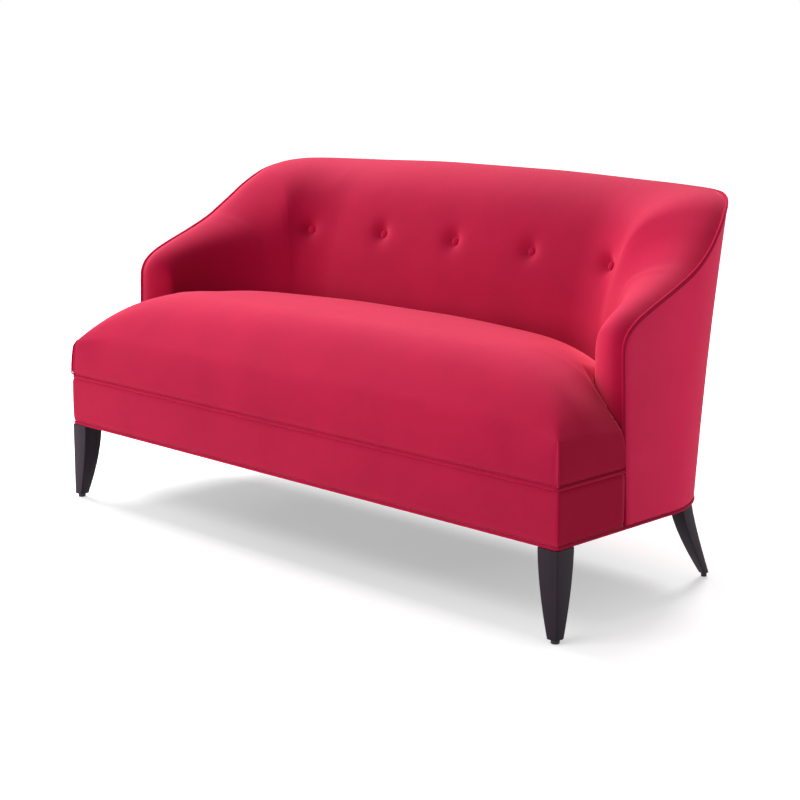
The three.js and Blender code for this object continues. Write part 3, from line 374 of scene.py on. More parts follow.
def resample(path, step):
    """The same path with even spacing close to a step."""
    lengths = np.concatenate([[0], np.cumsum(np.linalg.norm(np.diff(path, axis=0), axis=1))])
    count = max(2, int(round(lengths[-1] / step)) + 1)
    even = np.linspace(0, lengths[-1], count)
    return np.stack([np.interp(even, lengths, path[:, k]) for k in range(path.shape[1])], axis=1)


def edge_path(foot):
    """Top edge of the right half in the (s, z) plane, from a height on the arm front to the middle."""
    sweep = [(run * ARM_SWEEP, mix(ARM_HEIGHT, BACK_HEIGHT, rise)) for run, rise in SWEEP_SHARES]
    below = (0, 2 * ARM_HEIGHT - sweep[2][1])
    curve = spline([below, *sweep, (top_plan.total, BACK_HEIGHT)])
    return np.concatenate([[(0, foot)], curve, [(top_plan.total, BACK_HEIGHT)]])


def edge_columns(foot, step):
    """Even columns along that edge, with the unit direction out of the roll at each."""
    path = resample(edge_path(foot), step)
    tangent = np.gradient(path, axis=0)
    tangent[0], tangent[-1] = (0, 1), (1, 0)
    tangent /= np.linalg.norm(tangent, axis=1, keepdims=True)
    return path[:, 0], path[:, 1], -tangent[:, 1], tangent[:, 0]


def eased(rib, width):
    """The same rib with its bends spread over a width, and both ends kept."""
    lengths = np.concatenate([[0], np.cumsum(np.linalg.norm(np.diff(rib, axis=0), axis=1))])
    even = np.arange(0, lengths[-1], EASE_STEP)
    path = np.stack([np.interp(even, lengths, rib[:, k]) for k in range(3)], axis=1)
    reach = int(3 * width / EASE_STEP)
    kernel = np.exp(-0.5 * (np.arange(-reach, reach + 1) * EASE_STEP / width) ** 2)
    before = 2 * path[0] - path[reach:0:-1]
    after = 2 * path[-1] - path[-2:-reach - 2:-1]
    path = np.concatenate([before, path, after])
    soft = [np.convolve(path[:, k], kernel / kernel.sum(), "valid") for k in range(3)]
    return np.stack([np.interp(lengths, even, line) for line in soft], axis=1)


def cover_half(step):
    """Right half of the inside cover: ribs over the roll and down the inside face."""
    s, z, es, ez = (column[:, None] for column in edge_columns(COVER_FOOT, step))
    rear, deep = smooth(s, top_plan.side, ARM_SWEEP), smooth(s, *ROLL_DEEPENS)
    shares = (deep, smooth(s, *CROWN_RISES), deep)
    drop, crown, reach = (mix(*ends, share) for *ends, share in zip(ARM_ROLL, BACK_ROLL, shares))
    start = np.stack([s, z, edge_setback(s, z, BEHIND_WELT)], axis=-1)
    face_top = [s - es * drop, z - ez * drop]
    upright = np.clip((z - COVER_FOOT) / (ARM_HEIGHT - COVER_FOOT), 0, 1)
    fade = np.clip(1 - s / ARM_SWEEP, 0, 1)
    foot = [face_top[0] + mix(FAN_FOOT, FAN_SPREAD, upright) * fade, TUCK_HEIGHT + 0 * s]

    def face_point(share):
        fs, fz = mix(face_top[0], foot[0], share), mix(face_top[1], foot[1], share)
        puff = ARM_PUFF * (1 - rear) * np.exp(-((share / PUFF_FADE_SHARE) ** 2))
        return np.stack([fs, fz, depth_to_face(np.minimum(fs, top_plan.total), fz) + puff], axis=-1)

    end, ahead = face_point(0), face_point(FACE_START_SHARE)
    run = np.linalg.norm(end - ahead, axis=-1, keepdims=True)
    lift = start + np.stack([es * crown, ez * crown, crown * CROWN_SET_SHARE], axis=-1)
    arrive = end + (end - ahead) * reach[..., None] / run
    t = np.linspace(0, 1, ROLL_ROWS)[None, :, None]
    roll = (1 - t) ** 3 * start + 3 * (1 - t) ** 2 * t * lift + 3 * (1 - t) * t**2 * arrive + t**3 * end
    face = face_point(np.linspace(0, 1, FACE_ROWS + 1)[None, 1:])
    ribs = place(*np.moveaxis(np.concatenate([roll, face], axis=1), -1, 0))
    return np.array([eased(rib, width) for rib, width in zip(ribs, mix(*ROLL_EASE, rear[:, 0]))])


def mirrored(half):
    """Both halves of a grid of ribs, meeting at the middle."""
    return np.concatenate([half, half[-2::-1] * (-1, 1, 1)])


def grid_normals(grid):
    du = np.gradient(grid, axis=0)
    dv = np.gradient(grid, axis=1)
    normal = np.cross(du, dv)
    return normal / np.maximum(np.linalg.norm(normal, axis=-1, keepdims=True), 1e-12)


# Meshes


def make_mesh(name, points, faces, sharp):
    points = np.asarray(points, float) + (0, FRONT, 0)
    mesh = bpy.data.meshes.new(name)
    mesh.from_pydata(points.tolist(), [], faces)
    mesh.update()
    mesh.shade_smooth()
    mesh.set_sharp_from_angle(angle=math.radians(sharp))
    piece = bpy.data.objects.new(name, mesh)
    bpy.context.scene.collection.objects.link(piece)
    return piece


def slab(name, outer, inner, present=None, sharp=40):
    """Closed slab between two grids of one size; cells that are not present are left out."""
    rows, cols = outer.shape[:2]
    present = np.ones((rows - 1, cols - 1), bool) if present is None else present
    padded = np.pad(present, 1)
    ids = np.arange(2 * rows * cols).reshape(2, rows, cols)
    faces = []
    for i, j in zip(*np.nonzero(present)):
        ring = [(i, j), (i + 1, j), (i + 1, j + 1), (i, j + 1)]
        faces.append([ids[0][k] for k in ring])
        faces.append([ids[1][k] for k in reversed(ring)])
        beside = [padded[i + 1, j], padded[i + 2, j + 1], padded[i + 1, j + 2], padded[i, j + 1]]
        for k, neighbour in enumerate(beside):
            if not neighbour:
                a, b = ring[k], ring[(k + 1) % 4]
                faces.append([ids[0][b], ids[0][a], ids[1][a], ids[1][b]])
    points = np.concatenate([outer.reshape(-1, 3), inner.reshape(-1, 3)])
    used = np.unique(faces)
    renumber = np.full(len(points), -1)
    renumber[used] = np.arange(len(used))
    piece = make_mesh(name, points[used], renumber[np.array(faces)].tolist(), sharp)
    turn_out(piece)
    return piece, renumber.reshape(2, rows, cols)


def turn_out(piece):
    """Turns a closed mesh right side out."""
    mesh = piece.data
    mesh.calc_loop_triangles()
    points = np.array([v.co for v in mesh.vertices])
    tris = np.array([t.vertices for t in mesh.loop_triangles])
    a, b, c = (points[tris[:, k]] for k in range(3))
    if np.einsum("ij,ij->i", a, np.cross(b, c)).sum() < 0:
        mesh.flip_normals()


def loft(name, rings, sharp):
    """Closed tube through rings of one size, with flat ends."""
    count, size = len(rings), len(rings[0])
    faces = []
    for i in range(count - 1):
        for j in range(size):
            k = (j + 1) % size
            faces.append([i * size + j, i * size + k, (i + 1) * size + k, (i + 1) * size + j])
    faces.append(list(range(size))[::-1])
    faces.append(list(range((count - 1) * size, count * size)))
    piece = make_mesh(name, np.concatenate(rings), faces, sharp)
    turn_out(piece)
    return piece


def cord(name, path, radius, sides=CORD_SIDES):
    """Round cord along a path, with the small unevenness of sewn piping."""
    path = resample(np.asarray(path, float), CORD_STEP)
    tangent = np.gradient(path, axis=0)
    tangent /= np.linalg.norm(tangent, axis=1, keepdims=True)
    across = np.array([0.0, 0.0, 1.0]) if abs(tangent[0][2]) < 0.9 else np.array([1.0, 0.0, 0.0])
    angles = 2 * math.pi * np.arange(sides) / sides
    rings = []
    for k, (point, along) in enumerate(zip(path, tangent)):
        across = across - along * (across @ along)
        across /= np.linalg.norm(across)
        other = np.cross(along, across)
        uneven = math.sin(k * CORD_WAVES[0]) * math.sin(k * CORD_WAVES[1])
        swell = radius * (1 + CORD_UNEVEN_SHARE * uneven)
        rings.append(point + swell * (np.cos(angles)[:, None] * across + np.sin(angles)[:, None] * other))
    return loft(name, rings, sharp=60)


def keep(piece, material, slot, *nodes):
    """Puts a piece on the settee in place of the nodes that it stands for."""
    piece.data.materials.append(material)
    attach(piece, "root")
    if nodes:
        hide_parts(*nodes)


def coordinates(piece, evaluated=False):
    source = piece.evaluated_get(bpy.context.evaluated_depsgraph_get()) if evaluated else piece
    out = np.empty(len(source.data.vertices) * 3)
    source.data.vertices.foreach_get("co", out)
    return out.reshape(-1, 3)


def inflate(piece, grid_ids, pinned, pressure, cap):
    """Lets a closed pad swell under pressure with some points held, and keeps the broad part of it."""
    start = coordinates(piece)
    group = piece.vertex_groups.new(name="held")
    group.add([int(k) for k in pinned], 1, "REPLACE")
    cloth = piece.modifiers.new("cloth", "CLOTH")
    settings = cloth.settings
    settings.vertex_group_mass = group.name
    settings.use_pressure = True
    settings.uniform_pressure_force = pressure
    settings.effector_weights.gravity = 0
    settings.tension_stiffness = settings.compression_stiffness = 15
    settings.bending_stiffness = 0.5
    settings.quality = 5
    cloth.collision_settings.use_collision = False
    cloth.point_cache.frame_start = 1
    cloth.point_cache.frame_end = SIMULATION_FRAMES
    for number in range(1, SIMULATION_FRAMES + 1):
        bpy.context.scene.frame_set(number)
    moved = coordinates(piece, evaluated=True) - start
    piece.modifiers.remove(cloth)
    bpy.context.scene.frame_set(1)
    normals = np.array([v.normal for v in piece.data.vertices])
    swell = cap * np.tanh(np.einsum("ij,ij->i", moved, normals) / cap)
    there = grid_ids >= 0
    field = np.where(there, swell[grid_ids], 0)
    weight = there.astype(float)
    for _ in range(SWELL_SMOOTHING):
        field, weight = blur(field * there), blur(weight * there)
        field = np.where(there, field / np.maximum(weight, TINY), 0)
        weight = there.astype(float)
    free = ~np.isin(grid_ids, list(pinned)) & there
    edge = blur_many(free.astype(float), EDGE_SMOOTHING) * free
    swell = np.zeros(len(start))
    swell[grid_ids[there]] = (field * edge)[there]
    piece.data.vertices.foreach_set("co", (start + normals * swell[:, None]).ravel())
    piece.data.update()


def blur(field):
    """One step of smoothing over a grid."""
    wide = np.pad(field, 1, mode="edge")
    across = (wide[:-2, 1:-1] + 2 * wide[1:-1, 1:-1] + wide[2:, 1:-1]) / 4
    wide = np.pad(across, ((0, 0), (1, 1)), mode="edge")
    return (wide[:, :-2] + 2 * wide[:, 1:-1] + wide[:, 2:]) / 4


def blur_many(field, steps):
    for _ in range(steps):
        field = blur(field)
    return field


def lay_painted_light_and_shade(piece, reading):
    """Stores painted light and shade over a piece, from its normals: its tone, and how deep its colour is.
    """
    normals = np.array([v.normal for v in piece.data.vertices])
    tone, depth = reading(coordinates(piece) - (0, FRONT, 0), normals)
    for name, values in (("painted_light_and_shade_tone", tone), ("painted_shade_depth", depth)):
        stored = piece.data.attributes.new(name, "FLOAT", "POINT")
        stored.data.foreach_set("value", values.astype(np.float32))


def cover_painted_light_and_shade(points, normals):
    """Painted shade deep inside the left arm and down the outer side of the right one, painted light pale
    along its crest and where the cloth faces left, and darker where it faces up.
    """
    on_left, on_right = 1 - smooth(points[:, 0], *PAINTED_LEFT), smooth(points[:, 0], *PAINTED_RIGHT)
    across = np.ones(len(points))
    for row in range(ROLL_ROWS):
        across[inside_ids[0][:, row]] = row / ROLL_ROWS
    outer = (1 - smooth(across, *PAINTED_OUTER)) * on_right
    to_right, to_left = np.maximum(normals[:, 0], 0) * on_left, np.maximum(-normals[:, 0], 0)
    up = np.maximum(normals[:, 2], 0)
    tone = 1 - SIDE_TONE * to_right + SIDE_TONE * to_left + RIGHT_TONE * on_right
    tone = tone - OUTER_TONE * outer - TOP_TONE * up
    depth = PLAIN_DEPTH + SIDE_DEPTH * to_right - SIDE_DEPTH * to_left - RIGHT_DEPTH * on_right
    return tone, np.clip(depth + OUTER_DEPTH * outer, 0, 1)


def seat_painted_shade(points, normals):
    """Painted shade: deep on what faces right, but not on the crown."""
    deep = smooth(normals[:, 0], *SHADE_DEEPENS) * (1 - smooth(normals[:, 2], *SHADE_CROWN))
    return np.ones(len(points)), mix(PLAIN_DEPTH, 1, deep)


def panel_painted_light(points, normals):
    """Painted light: pale on the right side, most of all towards the rear, and as elsewhere on the back and
    left side.
    """
    pale = 1 + REAR_TONE * smooth(points[:, 1], *PAINTED_REAR)
    return mix(PANEL_SHADE_TONE, pale, smooth(normals[:, 0], *PAINTED_FACING_RIGHT)), np.full(len(points), PLAIN_DEPTH)


def refine(piece):
    """One smooth subdivision."""
    subdivision = piece.modifiers.new("subdivision", "SUBSURF")
    subdivision.levels = subdivision.render_levels = 1
    subdivision.use_limit_surface = False


# Materials


class Nodes:
    """A new material's node tree."""

    def __init__(self, name):
        self.material = bpy.data.materials.new(name)
        self.material.use_nodes = True
        self.tree = self.material.node_tree
        self.shader = self.tree.nodes["Principled BSDF"]
        self.place = self.tree.nodes.new("ShaderNodeTexCoord").outputs["Object"]

    def add(self, kind, inputs=(), **settings):
        node = self.tree.nodes.new(kind)
        for key, value in settings.items():
            setattr(node, key, value)
        for key, value in dict(inputs).items():
            self.set(node.inputs[key], value)
        return node

    def set(self, socket, value):
        if isinstance(value, bpy.types.NodeSocket):
            self.tree.links.new(value, socket)
        else:
            socket.default_value = value

    def noise(self, scale, detail=2.0, stretch=(1, 1, 1), roughness=0.5):
        mapping = self.add("ShaderNodeMapping", {"Vector": self.place, "Scale": stretch})
        inputs = {"Vector": mapping.outputs[0], "Scale": scale, "Detail": detail, "Roughness": roughness}
        return self.add("ShaderNodeTexNoise", inputs).outputs["Fac"]

    def ramp(self, value, stops):
        node = self.add("ShaderNodeValToRGB", {"Fac": value})
        elements = node.color_ramp.elements
        while len(elements) < len(stops):
            elements.new(0.5)
        for element, (position, color) in zip(elements, stops):
            element.position, element.color = position, (*color, 1)
        return node.outputs["Color"]

    def bump(self, height, strength, distance, normal=None):
        inputs = {"Height": height, "Strength": strength, "Distance": distance}
        node = self.add("ShaderNodeBump", inputs)
        if normal is not None:
            self.set(node.inputs["Normal"], normal)
        return node.outputs["Normal"]

    def finish(self, **inputs):
        for key, value in inputs.items():
            self.set(self.shader.inputs[key.replace("_", " ")], value)
        return self.material


def paint_light_and_shade(nodes, color):
    """The same colour, deeper or in another tone by the painted light and shade that is stored on the
    piece.
    """
    tone = nodes.add("ShaderNodeAttribute", attribute_name="painted_light_and_shade_tone").outputs["Fac"]
    depth = nodes.add("ShaderNodeAttribute", attribute_name="painted_shade_depth").outputs["Fac"]
    deeper = nodes.add("ShaderNodeMapRange", {"Value": depth, "From Min": PLAIN_DEPTH}).outputs["Result"]
    # Mixes in the painted shade colour past the plain depth, then scales by the painted tone
    mixed = nodes.add("ShaderNodeMix", {0: deeper, 6: color, 7: PAINTED_SHADE_COLOR}, data_type="RGBA").outputs[2]
    return nodes.add("ShaderNodeVectorMath", {0: mixed, "Scale": tone}, operation="SCALE").outputs["Vector"]


def velvet(name, dark, light, tint, with_painted_light=True):
    """Cotton velvet: a short even pile whose tips catch the light."""
    nodes = Nodes(name)
    color = nodes.ramp(nodes.noise(PILE_SCALE, 3, roughness=0.55), [(0.3, dark), (0.7, light)])
    normal = nodes.bump(nodes.noise(FIBRE_SCALE, 1), 0.12, 0.0004)
    normal = nodes.bump(nodes.noise(CRUSH_SCALE, 2), 0.08, 0.004, normal)
    # With painted light, the base colour carries the stored painted light and shade
    return nodes.finish(
        Base_Color=paint_light_and_shade(nodes, color) if with_painted_light else color, Normal=normal, Roughness=0.8,
        Specular_IOR_Level=0.0, Sheen_Weight=1.0, Sheen_Roughness=0.5, Sheen_Tint=tint)


def leg_wood():
    nodes = Nodes("leg_wood")
    grain = nodes.noise(60, 4, stretch=(1, 1, 0.06), roughness=0.6)
    color = nodes.ramp(grain, [(0.3, (0.013, 0.006, 0.012)), (0.75, (0.023, 0.012, 0.021))])
    normal = nodes.bump(nodes.noise(220, 3, stretch=(1, 1, 0.05)), 0.1, 0.0004)
    return nodes.finish(Base_Color=color, Normal=normal, Roughness=0.45, Specular_IOR_Level=0.15)


def frame_wood():
    nodes = Nodes("frame_wood")
    grain = nodes.noise(30, 5, stretch=(0.15, 1, 1), roughness=0.65)
    color = nodes.ramp(grain, [(0.3, (0.34, 0.20, 0.085)), (0.7, (0.50, 0.33, 0.15))])
    return nodes.finish(Base_Color=color, Normal=nodes.bump(grain, 0.2, 0.0006), Roughness=0.7)


def woven(name, dark, light, scale):
    """Plain weave from two crossed bands."""
    nodes = Nodes(name)
    bands = []
    for axis in ("X", "Y"):
        inputs = {"Vector": nodes.place, "Scale": scale, "Distortion": 0.6, "Detail": 1.0}
        bands.append(nodes.add("ShaderNodeTexWave", inputs, bands_direction=axis).outputs["Fac"])
    cloth = nodes.add("ShaderNodeMath", {0: bands[0], 1: bands[1]}, operation="MULTIPLY").outputs[0]
    color = nodes.ramp(cloth, [(0.0, dark), (1.0, light)])
    return nodes.finish(Base_Color=color, Normal=nodes.bump(cloth, 0.4, 0.0005), Roughness=0.95)


def moulded_plastic():
    nodes = Nodes("glide_plastic")
    speck = nodes.noise(900, 2)
    color = nodes.ramp(speck, [(0.35, (0.006, 0.0055, 0.0065)), (0.65, (0.009, 0.008, 0.0095))])
    return nodes.finish(Base_Color=color, Normal=nodes.bump(speck, 0.15, 0.0002), Roughness=0.55)


def steel():
    nodes = Nodes("steel")
    draw = nodes.noise(500, 2, stretch=(1, 1, 0.1))
    color = nodes.ramp(draw, [(0.35, (0.24, 0.25, 0.27)), (0.65, (0.33, 0.34, 0.36))])
    return nodes.finish(Base_Color=color, Normal=nodes.bump(draw, 0.1, 0.0002), Roughness=0.35, Metallic=1)


def foam():
    nodes = Nodes("foam")
    cells = nodes.noise(700, 2)
    color = nodes.ramp(cells, [(0.35, (0.66, 0.56, 0.33)), (0.65, (0.82, 0.74, 0.48))])
    return nodes.finish(Base_Color=color, Normal=nodes.bump(cells, 0.3, 0.0005), Roughness=0.95)


CORD_TINT, NAP_TINT = (1.0, 0.11, 0.2, 1), (1.0, 0.15, 0.23, 1)
VELVET = velvet("velvet", (0.385, 0.0048, 0.0405), (0.415, 0.0054, 0.0435), CORD_TINT, with_painted_light=False)
# Velvet with painted light and shade over it: darker and deeper where the cloth faces right, lighter where
# it faces left
PAINTED_LIGHT_AND_SHADE_VELVET = velvet("velvet_painted_light_and_shade", (0.37, 0.008, 0.041), (0.43, 0.0095, 0.047), NAP_TINT)
# A lit copy of the velvet, about twice as light, as painted light on the outside panels; toned back down on
# the back and left side
PAINTED_LIGHT_VELVET = velvet("velvet_painted_light", (0.81, 0.026, 0.102), (0.88, 0.030, 0.114), NAP_TINT)
LEG_WOOD, PLASTIC = leg_wood(), moulded_plastic()
LOOKS = {
    "velvet": VELVET, "leg_wood": LEG_WOOD, "glide_plastic": PLASTIC, "foam": foam(), "steel": steel(),
    "frame_wood": frame_wood(),
    "hessian": woven("hessian", (0.20, 0.13, 0.06), (0.50, 0.35, 0.18), 110),
    "dust_cloth": woven("dust_cloth", (0.006, 0.006, 0.007), (0.018, 0.018, 0.02), 240),
}
for subpart in frame["record"]["subparts"]:
    node = frame["nodes"][subpart["node"]]
    node.data.materials.clear()
    node.data.materials.append(LOOKS[subpart["material_slot"]])


# Inside upholstery of the arms and back

cover = mirrored(cover_half(COLUMN_STEP))
cover_normals = grid_normals(cover)


def button_seats():
    """Where the buttons meet the plain inside face, with its normals there."""
    seats = []
    outermost = BUTTONS // 2
    for k in range(-outermost, outermost + 1):
        x = k * BUTTON_PITCH
        z = BUTTON_ROW + BUTTON_ARCH[0] - BUTTON_ARCH[1] * (k / outermost) ** 2
        past = max(0, abs(x) - (SEATING_WIDTH / 2 - SEATING_CORNER))
        y = inside_back(z) - SEATING_CORNER + math.sqrt(SEATING_CORNER**2 - past**2)
        spot = np.array((x, y, z))
        nearest = np.argmin(np.linalg.norm(cover.reshape(-1, 3) - spot, axis=1))
        normal = cover_normals.reshape(-1, 3)[nearest]
        seats.append((spot - normal * ((spot - cover.reshape(-1, 3)[nearest]) @ normal), normal))
    return seats


seats = button_seats()


def tuft(points):
    """How deep the buttons draw the cover in."""
    depth = np.zeros(points.shape[:-1])
    for seat, _ in seats:
        reach = np.linalg.norm(points - seat, axis=-1) / TUFT_RADIUS
        depth += TUFT_DEPTH / (1 + reach**2) ** 2
    return depth[..., None]


def pad_depth():
    """Thickness of the padding under each point of the cover."""
    rows = cover.shape[1]
    column = np.abs(np.linspace(-1, 1, cover.shape[0]))
    rear = 1 - smooth(column, *REAR_PAD_SHARES)
    full = mix(ARM_PAD, BACK_PAD, rear)[:, None]
    grow = np.clip(np.arange(rows) / (PAD_FULL_SHARE * ROLL_ROWS), 0, 1)[None]
    return mix(PAD_RIM, full, grow)[..., None]


face = cover - cover_normals * tuft(cover)
back = cover - cover_normals * pad_depth()
inside, inside_ids = slab("inside_upholstery", face, back)
held = set(inside_ids[1].ravel())
held |= set(inside_ids[0][:2].ravel()) | set(inside_ids[0][-2:].ravel())
held |= set(inside_ids[0][:, :2].ravel()) | set(inside_ids[0][:, -2:].ravel())
for seat, _ in seats:
    near = np.linalg.norm(cover - seat, axis=-1) < TUFT_HELD_SHARE * TUFT_RADIUS
    held |= set(inside_ids[0][near].ravel())
inflate(inside, inside_ids[0], held, INSIDE_PRESSURE, INSIDE_SWELL)
# Painted shade inside the left arm and on the outer roll of the right arm, painted light on the rest of the
# right side
lay_painted_light_and_shade(inside, cover_painted_light_and_shade)
keep(inside, PAINTED_LIGHT_AND_SHADE_VELVET, "velvet", "inside_cover", "back_foam", "arm_foam_right", "arm_foam_left")


# Buttons

BUTTON_PROFILE = [
    (0.55, -0.4), (0.8, -0.25), (0.95, -0.02), (1, 0.2), (0.97, 0.42), (0.86, 0.66), (0.66, 0.84),
    (0.4, 0.95), (0.15, 1.0),
]


def button(name, seat, normal, node):
    """A cloth-covered button with faint gathers round its rim."""
    normal = Vector(normal)
    side = normal.cross(Vector((0, 0, 1))).normalized()
    up = side.cross(normal)
    centre = Vector(seat) - normal * (TUFT_DEPTH - BUTTON_PROUD_SHARE * BUTTON_DOME)
    count, unevenness = BUTTON_GATHERS
    rings = []
    for out, lift in BUTTON_PROFILE:
        ring = []
        for angle in np.linspace(0, 2 * math.pi, BUTTON_SIDES, endpoint=False):
            gather = 1 + unevenness * math.cos(count * angle) * (1 - abs(lift))
            reach = out * BUTTON_RADIUS * gather
            spot = centre + side * (reach * math.cos(angle)) + up * (reach * math.sin(angle))
            ring.append(spot + normal * (lift * BUTTON_DOME))
        rings.append(np.array(ring))
    piece = loft(name, rings, sharp=70)
    keep(piece, VELVET, "velvet", node)


for k, (seat, normal) in enumerate(seats):
    button(f"covered_button_{k + 1}", seat, normal, f"button_{BUTTONS - k}")


# Outside panels


def shell_rib_grid(s, z, es, ez, shares):
    """Ribs of the outside panels, from the base up to the top edge."""
    run = s - es * EDGE_INSET
    upper = place(run, z - ez * EDGE_INSET, WELT_PROUD)
    turned = run - top_plan.side
    on_side = mix(EDGE_INSET, base_plan.side, (run - EDGE_INSET) / (top_plan.side - EDGE_INSET))
    on_arc = base_plan.side + turned * base_plan.arc / top_plan.arc
    past = (run - SEAM_RUN) / (top_plan.total - SEAM_RUN)
    on_back = mix(base_plan.side + base_plan.arc, base_plan.total, past)
    base = np.where(turned <= 0, on_side, np.where(turned <= top_plan.arc, on_arc, on_back))
    x, y, nx, ny = base_plan.at(base)
    lower = np.stack([x - nx * WELT_PROUD, y - ny * WELT_PROUD, PANEL_FOOT + 0 * x], axis=-1)
    share = np.asarray(shares)[None, :, None]
    hollow = SHELL_BOW * smooth(s, 0, top_plan.side)[:, None, None] * np.sin(math.pi * share)
    hollow = hollow + BAND_GROOVE * np.exp(-((on_side - EDGE_INSET) / END_GROOVE_REACH) ** 2)[:, None, None]
    normal = np.stack([nx, ny, 0 * nx], axis=-1)[:, None]
    return mix(lower[:, None], upper[:, None], share) - normal * hollow


def outside_panel(name, grid, node):
    """A sheet of cloth with its outer face on a grid."""
    normals = grid_normals(grid)
    middle = grid.mean(axis=(0, 1))
    outward = np.sign(((grid - middle) * normals).sum())
    piece, _ = slab(name, grid, grid - normals * outward * CLOTH)
    # Painted light on the panels' right side, most towards the rear
    lay_painted_light_and_shade(piece, panel_painted_light)
    refine(piece)
    keep(piece, PAINTED_LIGHT_VELVET, "velvet", node)


panel_shares = np.linspace(0, 1, PANEL_ROWS)
columns = np.stack(edge_columns(ARM_HEIGHT, PANEL_STEP))
widest = shell_rib_grid(*columns, (0, 1))[..., 0].max(axis=1)
past_side = columns[0] > top_plan.side
back_start = np.interp(-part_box("outside_back")[1][0], -widest[past_side], columns[0][past_side])


def column_at(run):
    """A column just where a panel ends."""
    return np.array([[np.interp(run, columns[0], row)] for row in columns])


arm_end = back_start - 2 * GAP
arm_columns = np.hstack([columns[:, columns[0] < arm_end - SEAM_MARGIN], column_at(arm_end)])
back_columns = np.hstack([column_at(back_start), columns[:, columns[0] > back_start + SEAM_MARGIN]])
arm_panel = shell_rib_grid(*arm_columns, panel_shares)
outside_panel("outside_arm_panel_right", arm_panel, "outside_arm_right")
outside_panel("outside_arm_panel_left", arm_panel * (-1, 1, 1), "outside_arm_left")
outside_panel("outside_back_panel", mirrored(shell_rib_grid(*back_columns, panel_shares)), "outside_back")


# Welts

s, z, _, _ = edge_columns(PANEL_FOOT, CORD_STEP)
edge = place(s, z, edge_setback(s, z, WELT_RADIUS))
long_path = np.concatenate([edge, edge[-2::-1] * (-1, 1, 1)])
keep(cord("arm_back_piping", long_path, WELT_RADIUS), VELVET, "velvet", "arm_back_welt")


def arc(cx, cy, radius, start, steps):
    """A quarter circle."""
    angles = start + np.linspace(0, math.pi / 2, steps)
    return [(cx + radius * math.cos(a), cy + radius * math.sin(a)) for a in angles]


def base_outline(inset):
    """Plan outline of the base, from the front right corner round the back."""
    half, near, far = WIDTH / 2 - inset, inset, BASE_DEPTH - inset
    rear, nose = REAR_CORNER - inset, max(FRONT_CORNER - inset, WELT_PROUD)
    return [
        *arc(half - nose, near + nose, nose, -math.pi / 2, FRONT_CORNER_STEPS),
        *arc(half - rear, far - rear, rear, 0, REAR_CORNER_STEPS),
        *arc(rear - half, far - rear, rear, math.pi / 2, REAR_CORNER_STEPS),
        *arc(nose - half, near + nose, nose, math.pi, FRONT_CORNER_STEPS),
    ]


def front_outline(inset, end):
    """The front of that outline, from one arm round to the other."""
    outline = base_outline(inset)
    right, left = outline[:FRONT_CORNER_STEPS][::-1], outline[-FRONT_CORNER_STEPS:][::-1]
    half = WIDTH / 2 - inset
    return [(half, end), *right, *left, (-half, end)]


def at_height(outline, z):
    return np.array([(x, y, z) for x, y in outline])


band_end = ARM_SETBACK - WELT_RADIUS - GAP
keep(cord("seat_piping", at_height(front_outline(WELT_RADIUS, band_end), SEAT_SEAM), WELT_RADIUS),
     VELVET, "velvet", "seat_welt")
loop = base_outline(WELT_RADIUS)
back_middle = [(GAP, BASE_DEPTH - WELT_RADIUS)]
half_way = len(loop) // 2
base_path = [(-GAP, BASE_DEPTH - WELT_RADIUS), *loop[half_way:], *loop[:half_way], *back_middle]
keep(cord("base_piping", at_height(base_path, LEG_HEIGHT + WELT_RADIUS), WELT_RADIUS),
     VELVET, "velvet", "base_welt")


# Base band

band_plan = resample(np.array(front_outline(WELT_PROUD, band_end)), BAND_STEP)
band_levels = np.linspace(PANEL_FOOT, SEAT_SEAM - EDGE_INSET, BAND_ROWS)
along = np.gradient(band_plan, axis=0)
along /= np.linalg.norm(along, axis=1, keepdims=True)
out_of_band = np.stack([-along[:, 1], along[:, 0]], axis=1)
out_of_band *= np.sign((band_plan * out_of_band).sum())
to_arm = (band_end - band_plan[:, 1:]) / END_GROOVE_REACH
band_grid = []
for level in band_levels:
    share = (level - band_levels[0]) / (band_levels[-1] - band_levels[0])
    from_seam = abs(2 * share - 1)
    draw_in = BAND_GROOVE * from_seam**BAND_GROOVE_POWER - BAND_FULLNESS * (1 - from_seam**2)
    draw_in = draw_in + BAND_GROOVE * np.exp(-to_arm**2)
    plan = band_plan - out_of_band * draw_in
    band_grid.append(at_height(plan, level))
band_grid = np.array(band_grid).swapaxes(0, 1)
band_inside = band_grid.copy()
band_inside[..., :2] -= (out_of_band * CLOTH)[:, None]
band, _ = slab("front_band_cover", band_grid, band_inside, sharp=50)
# Painted shade where the band faces right
lay_painted_light_and_shade(band, seat_painted_shade)
keep(band, PAINTED_LIGHT_AND_SHADE_VELVET, "velvet", "front_band")


# Seat

seat_half = WIDTH / 2 - WELT_PROUD
seat_back = SEATING_DEPTH - SEAT_CLEARANCE
seat_foot = SEAT_SEAM + EDGE_INSET


def arm_front():
    """Plan of the padded arm front, from the welt to the inside face."""
    ribs = cover_half(NOSE_STEP)
    at_level = np.argmin(np.abs(ribs[:NOSE_COLUMNS, ROLL_ROWS // 2, 2] - EAR_LEVEL))
    return ribs[at_level][:ROLL_ROWS, :2]


arm_nose = arm_front()
tip = np.argmin(arm_nose[:, 1])
inner_half = np.interp(band_end, arm_nose[tip:, 1], arm_nose[tip:, 0]) - SEAT_CLEARANCE


def seat_half_width(y):
    """Half the seat's width between the arms."""
    radius = SEATING_CORNER - SEAT_CLEARANCE
    past = np.clip(y - (SEATING_DEPTH - SEATING_CORNER), 0, radius)
    between_arms = SEATING_WIDTH / 2 - SEATING_CORNER + np.sqrt(radius**2 - past**2)
    beside_nose = np.interp(y, arm_nose[tip:, 1], arm_nose[tip:, 0]) - SEAT_CLEARANCE
    return np.where(y < arm_nose[-1, 1], np.maximum(between_arms, beside_nose), between_arms)


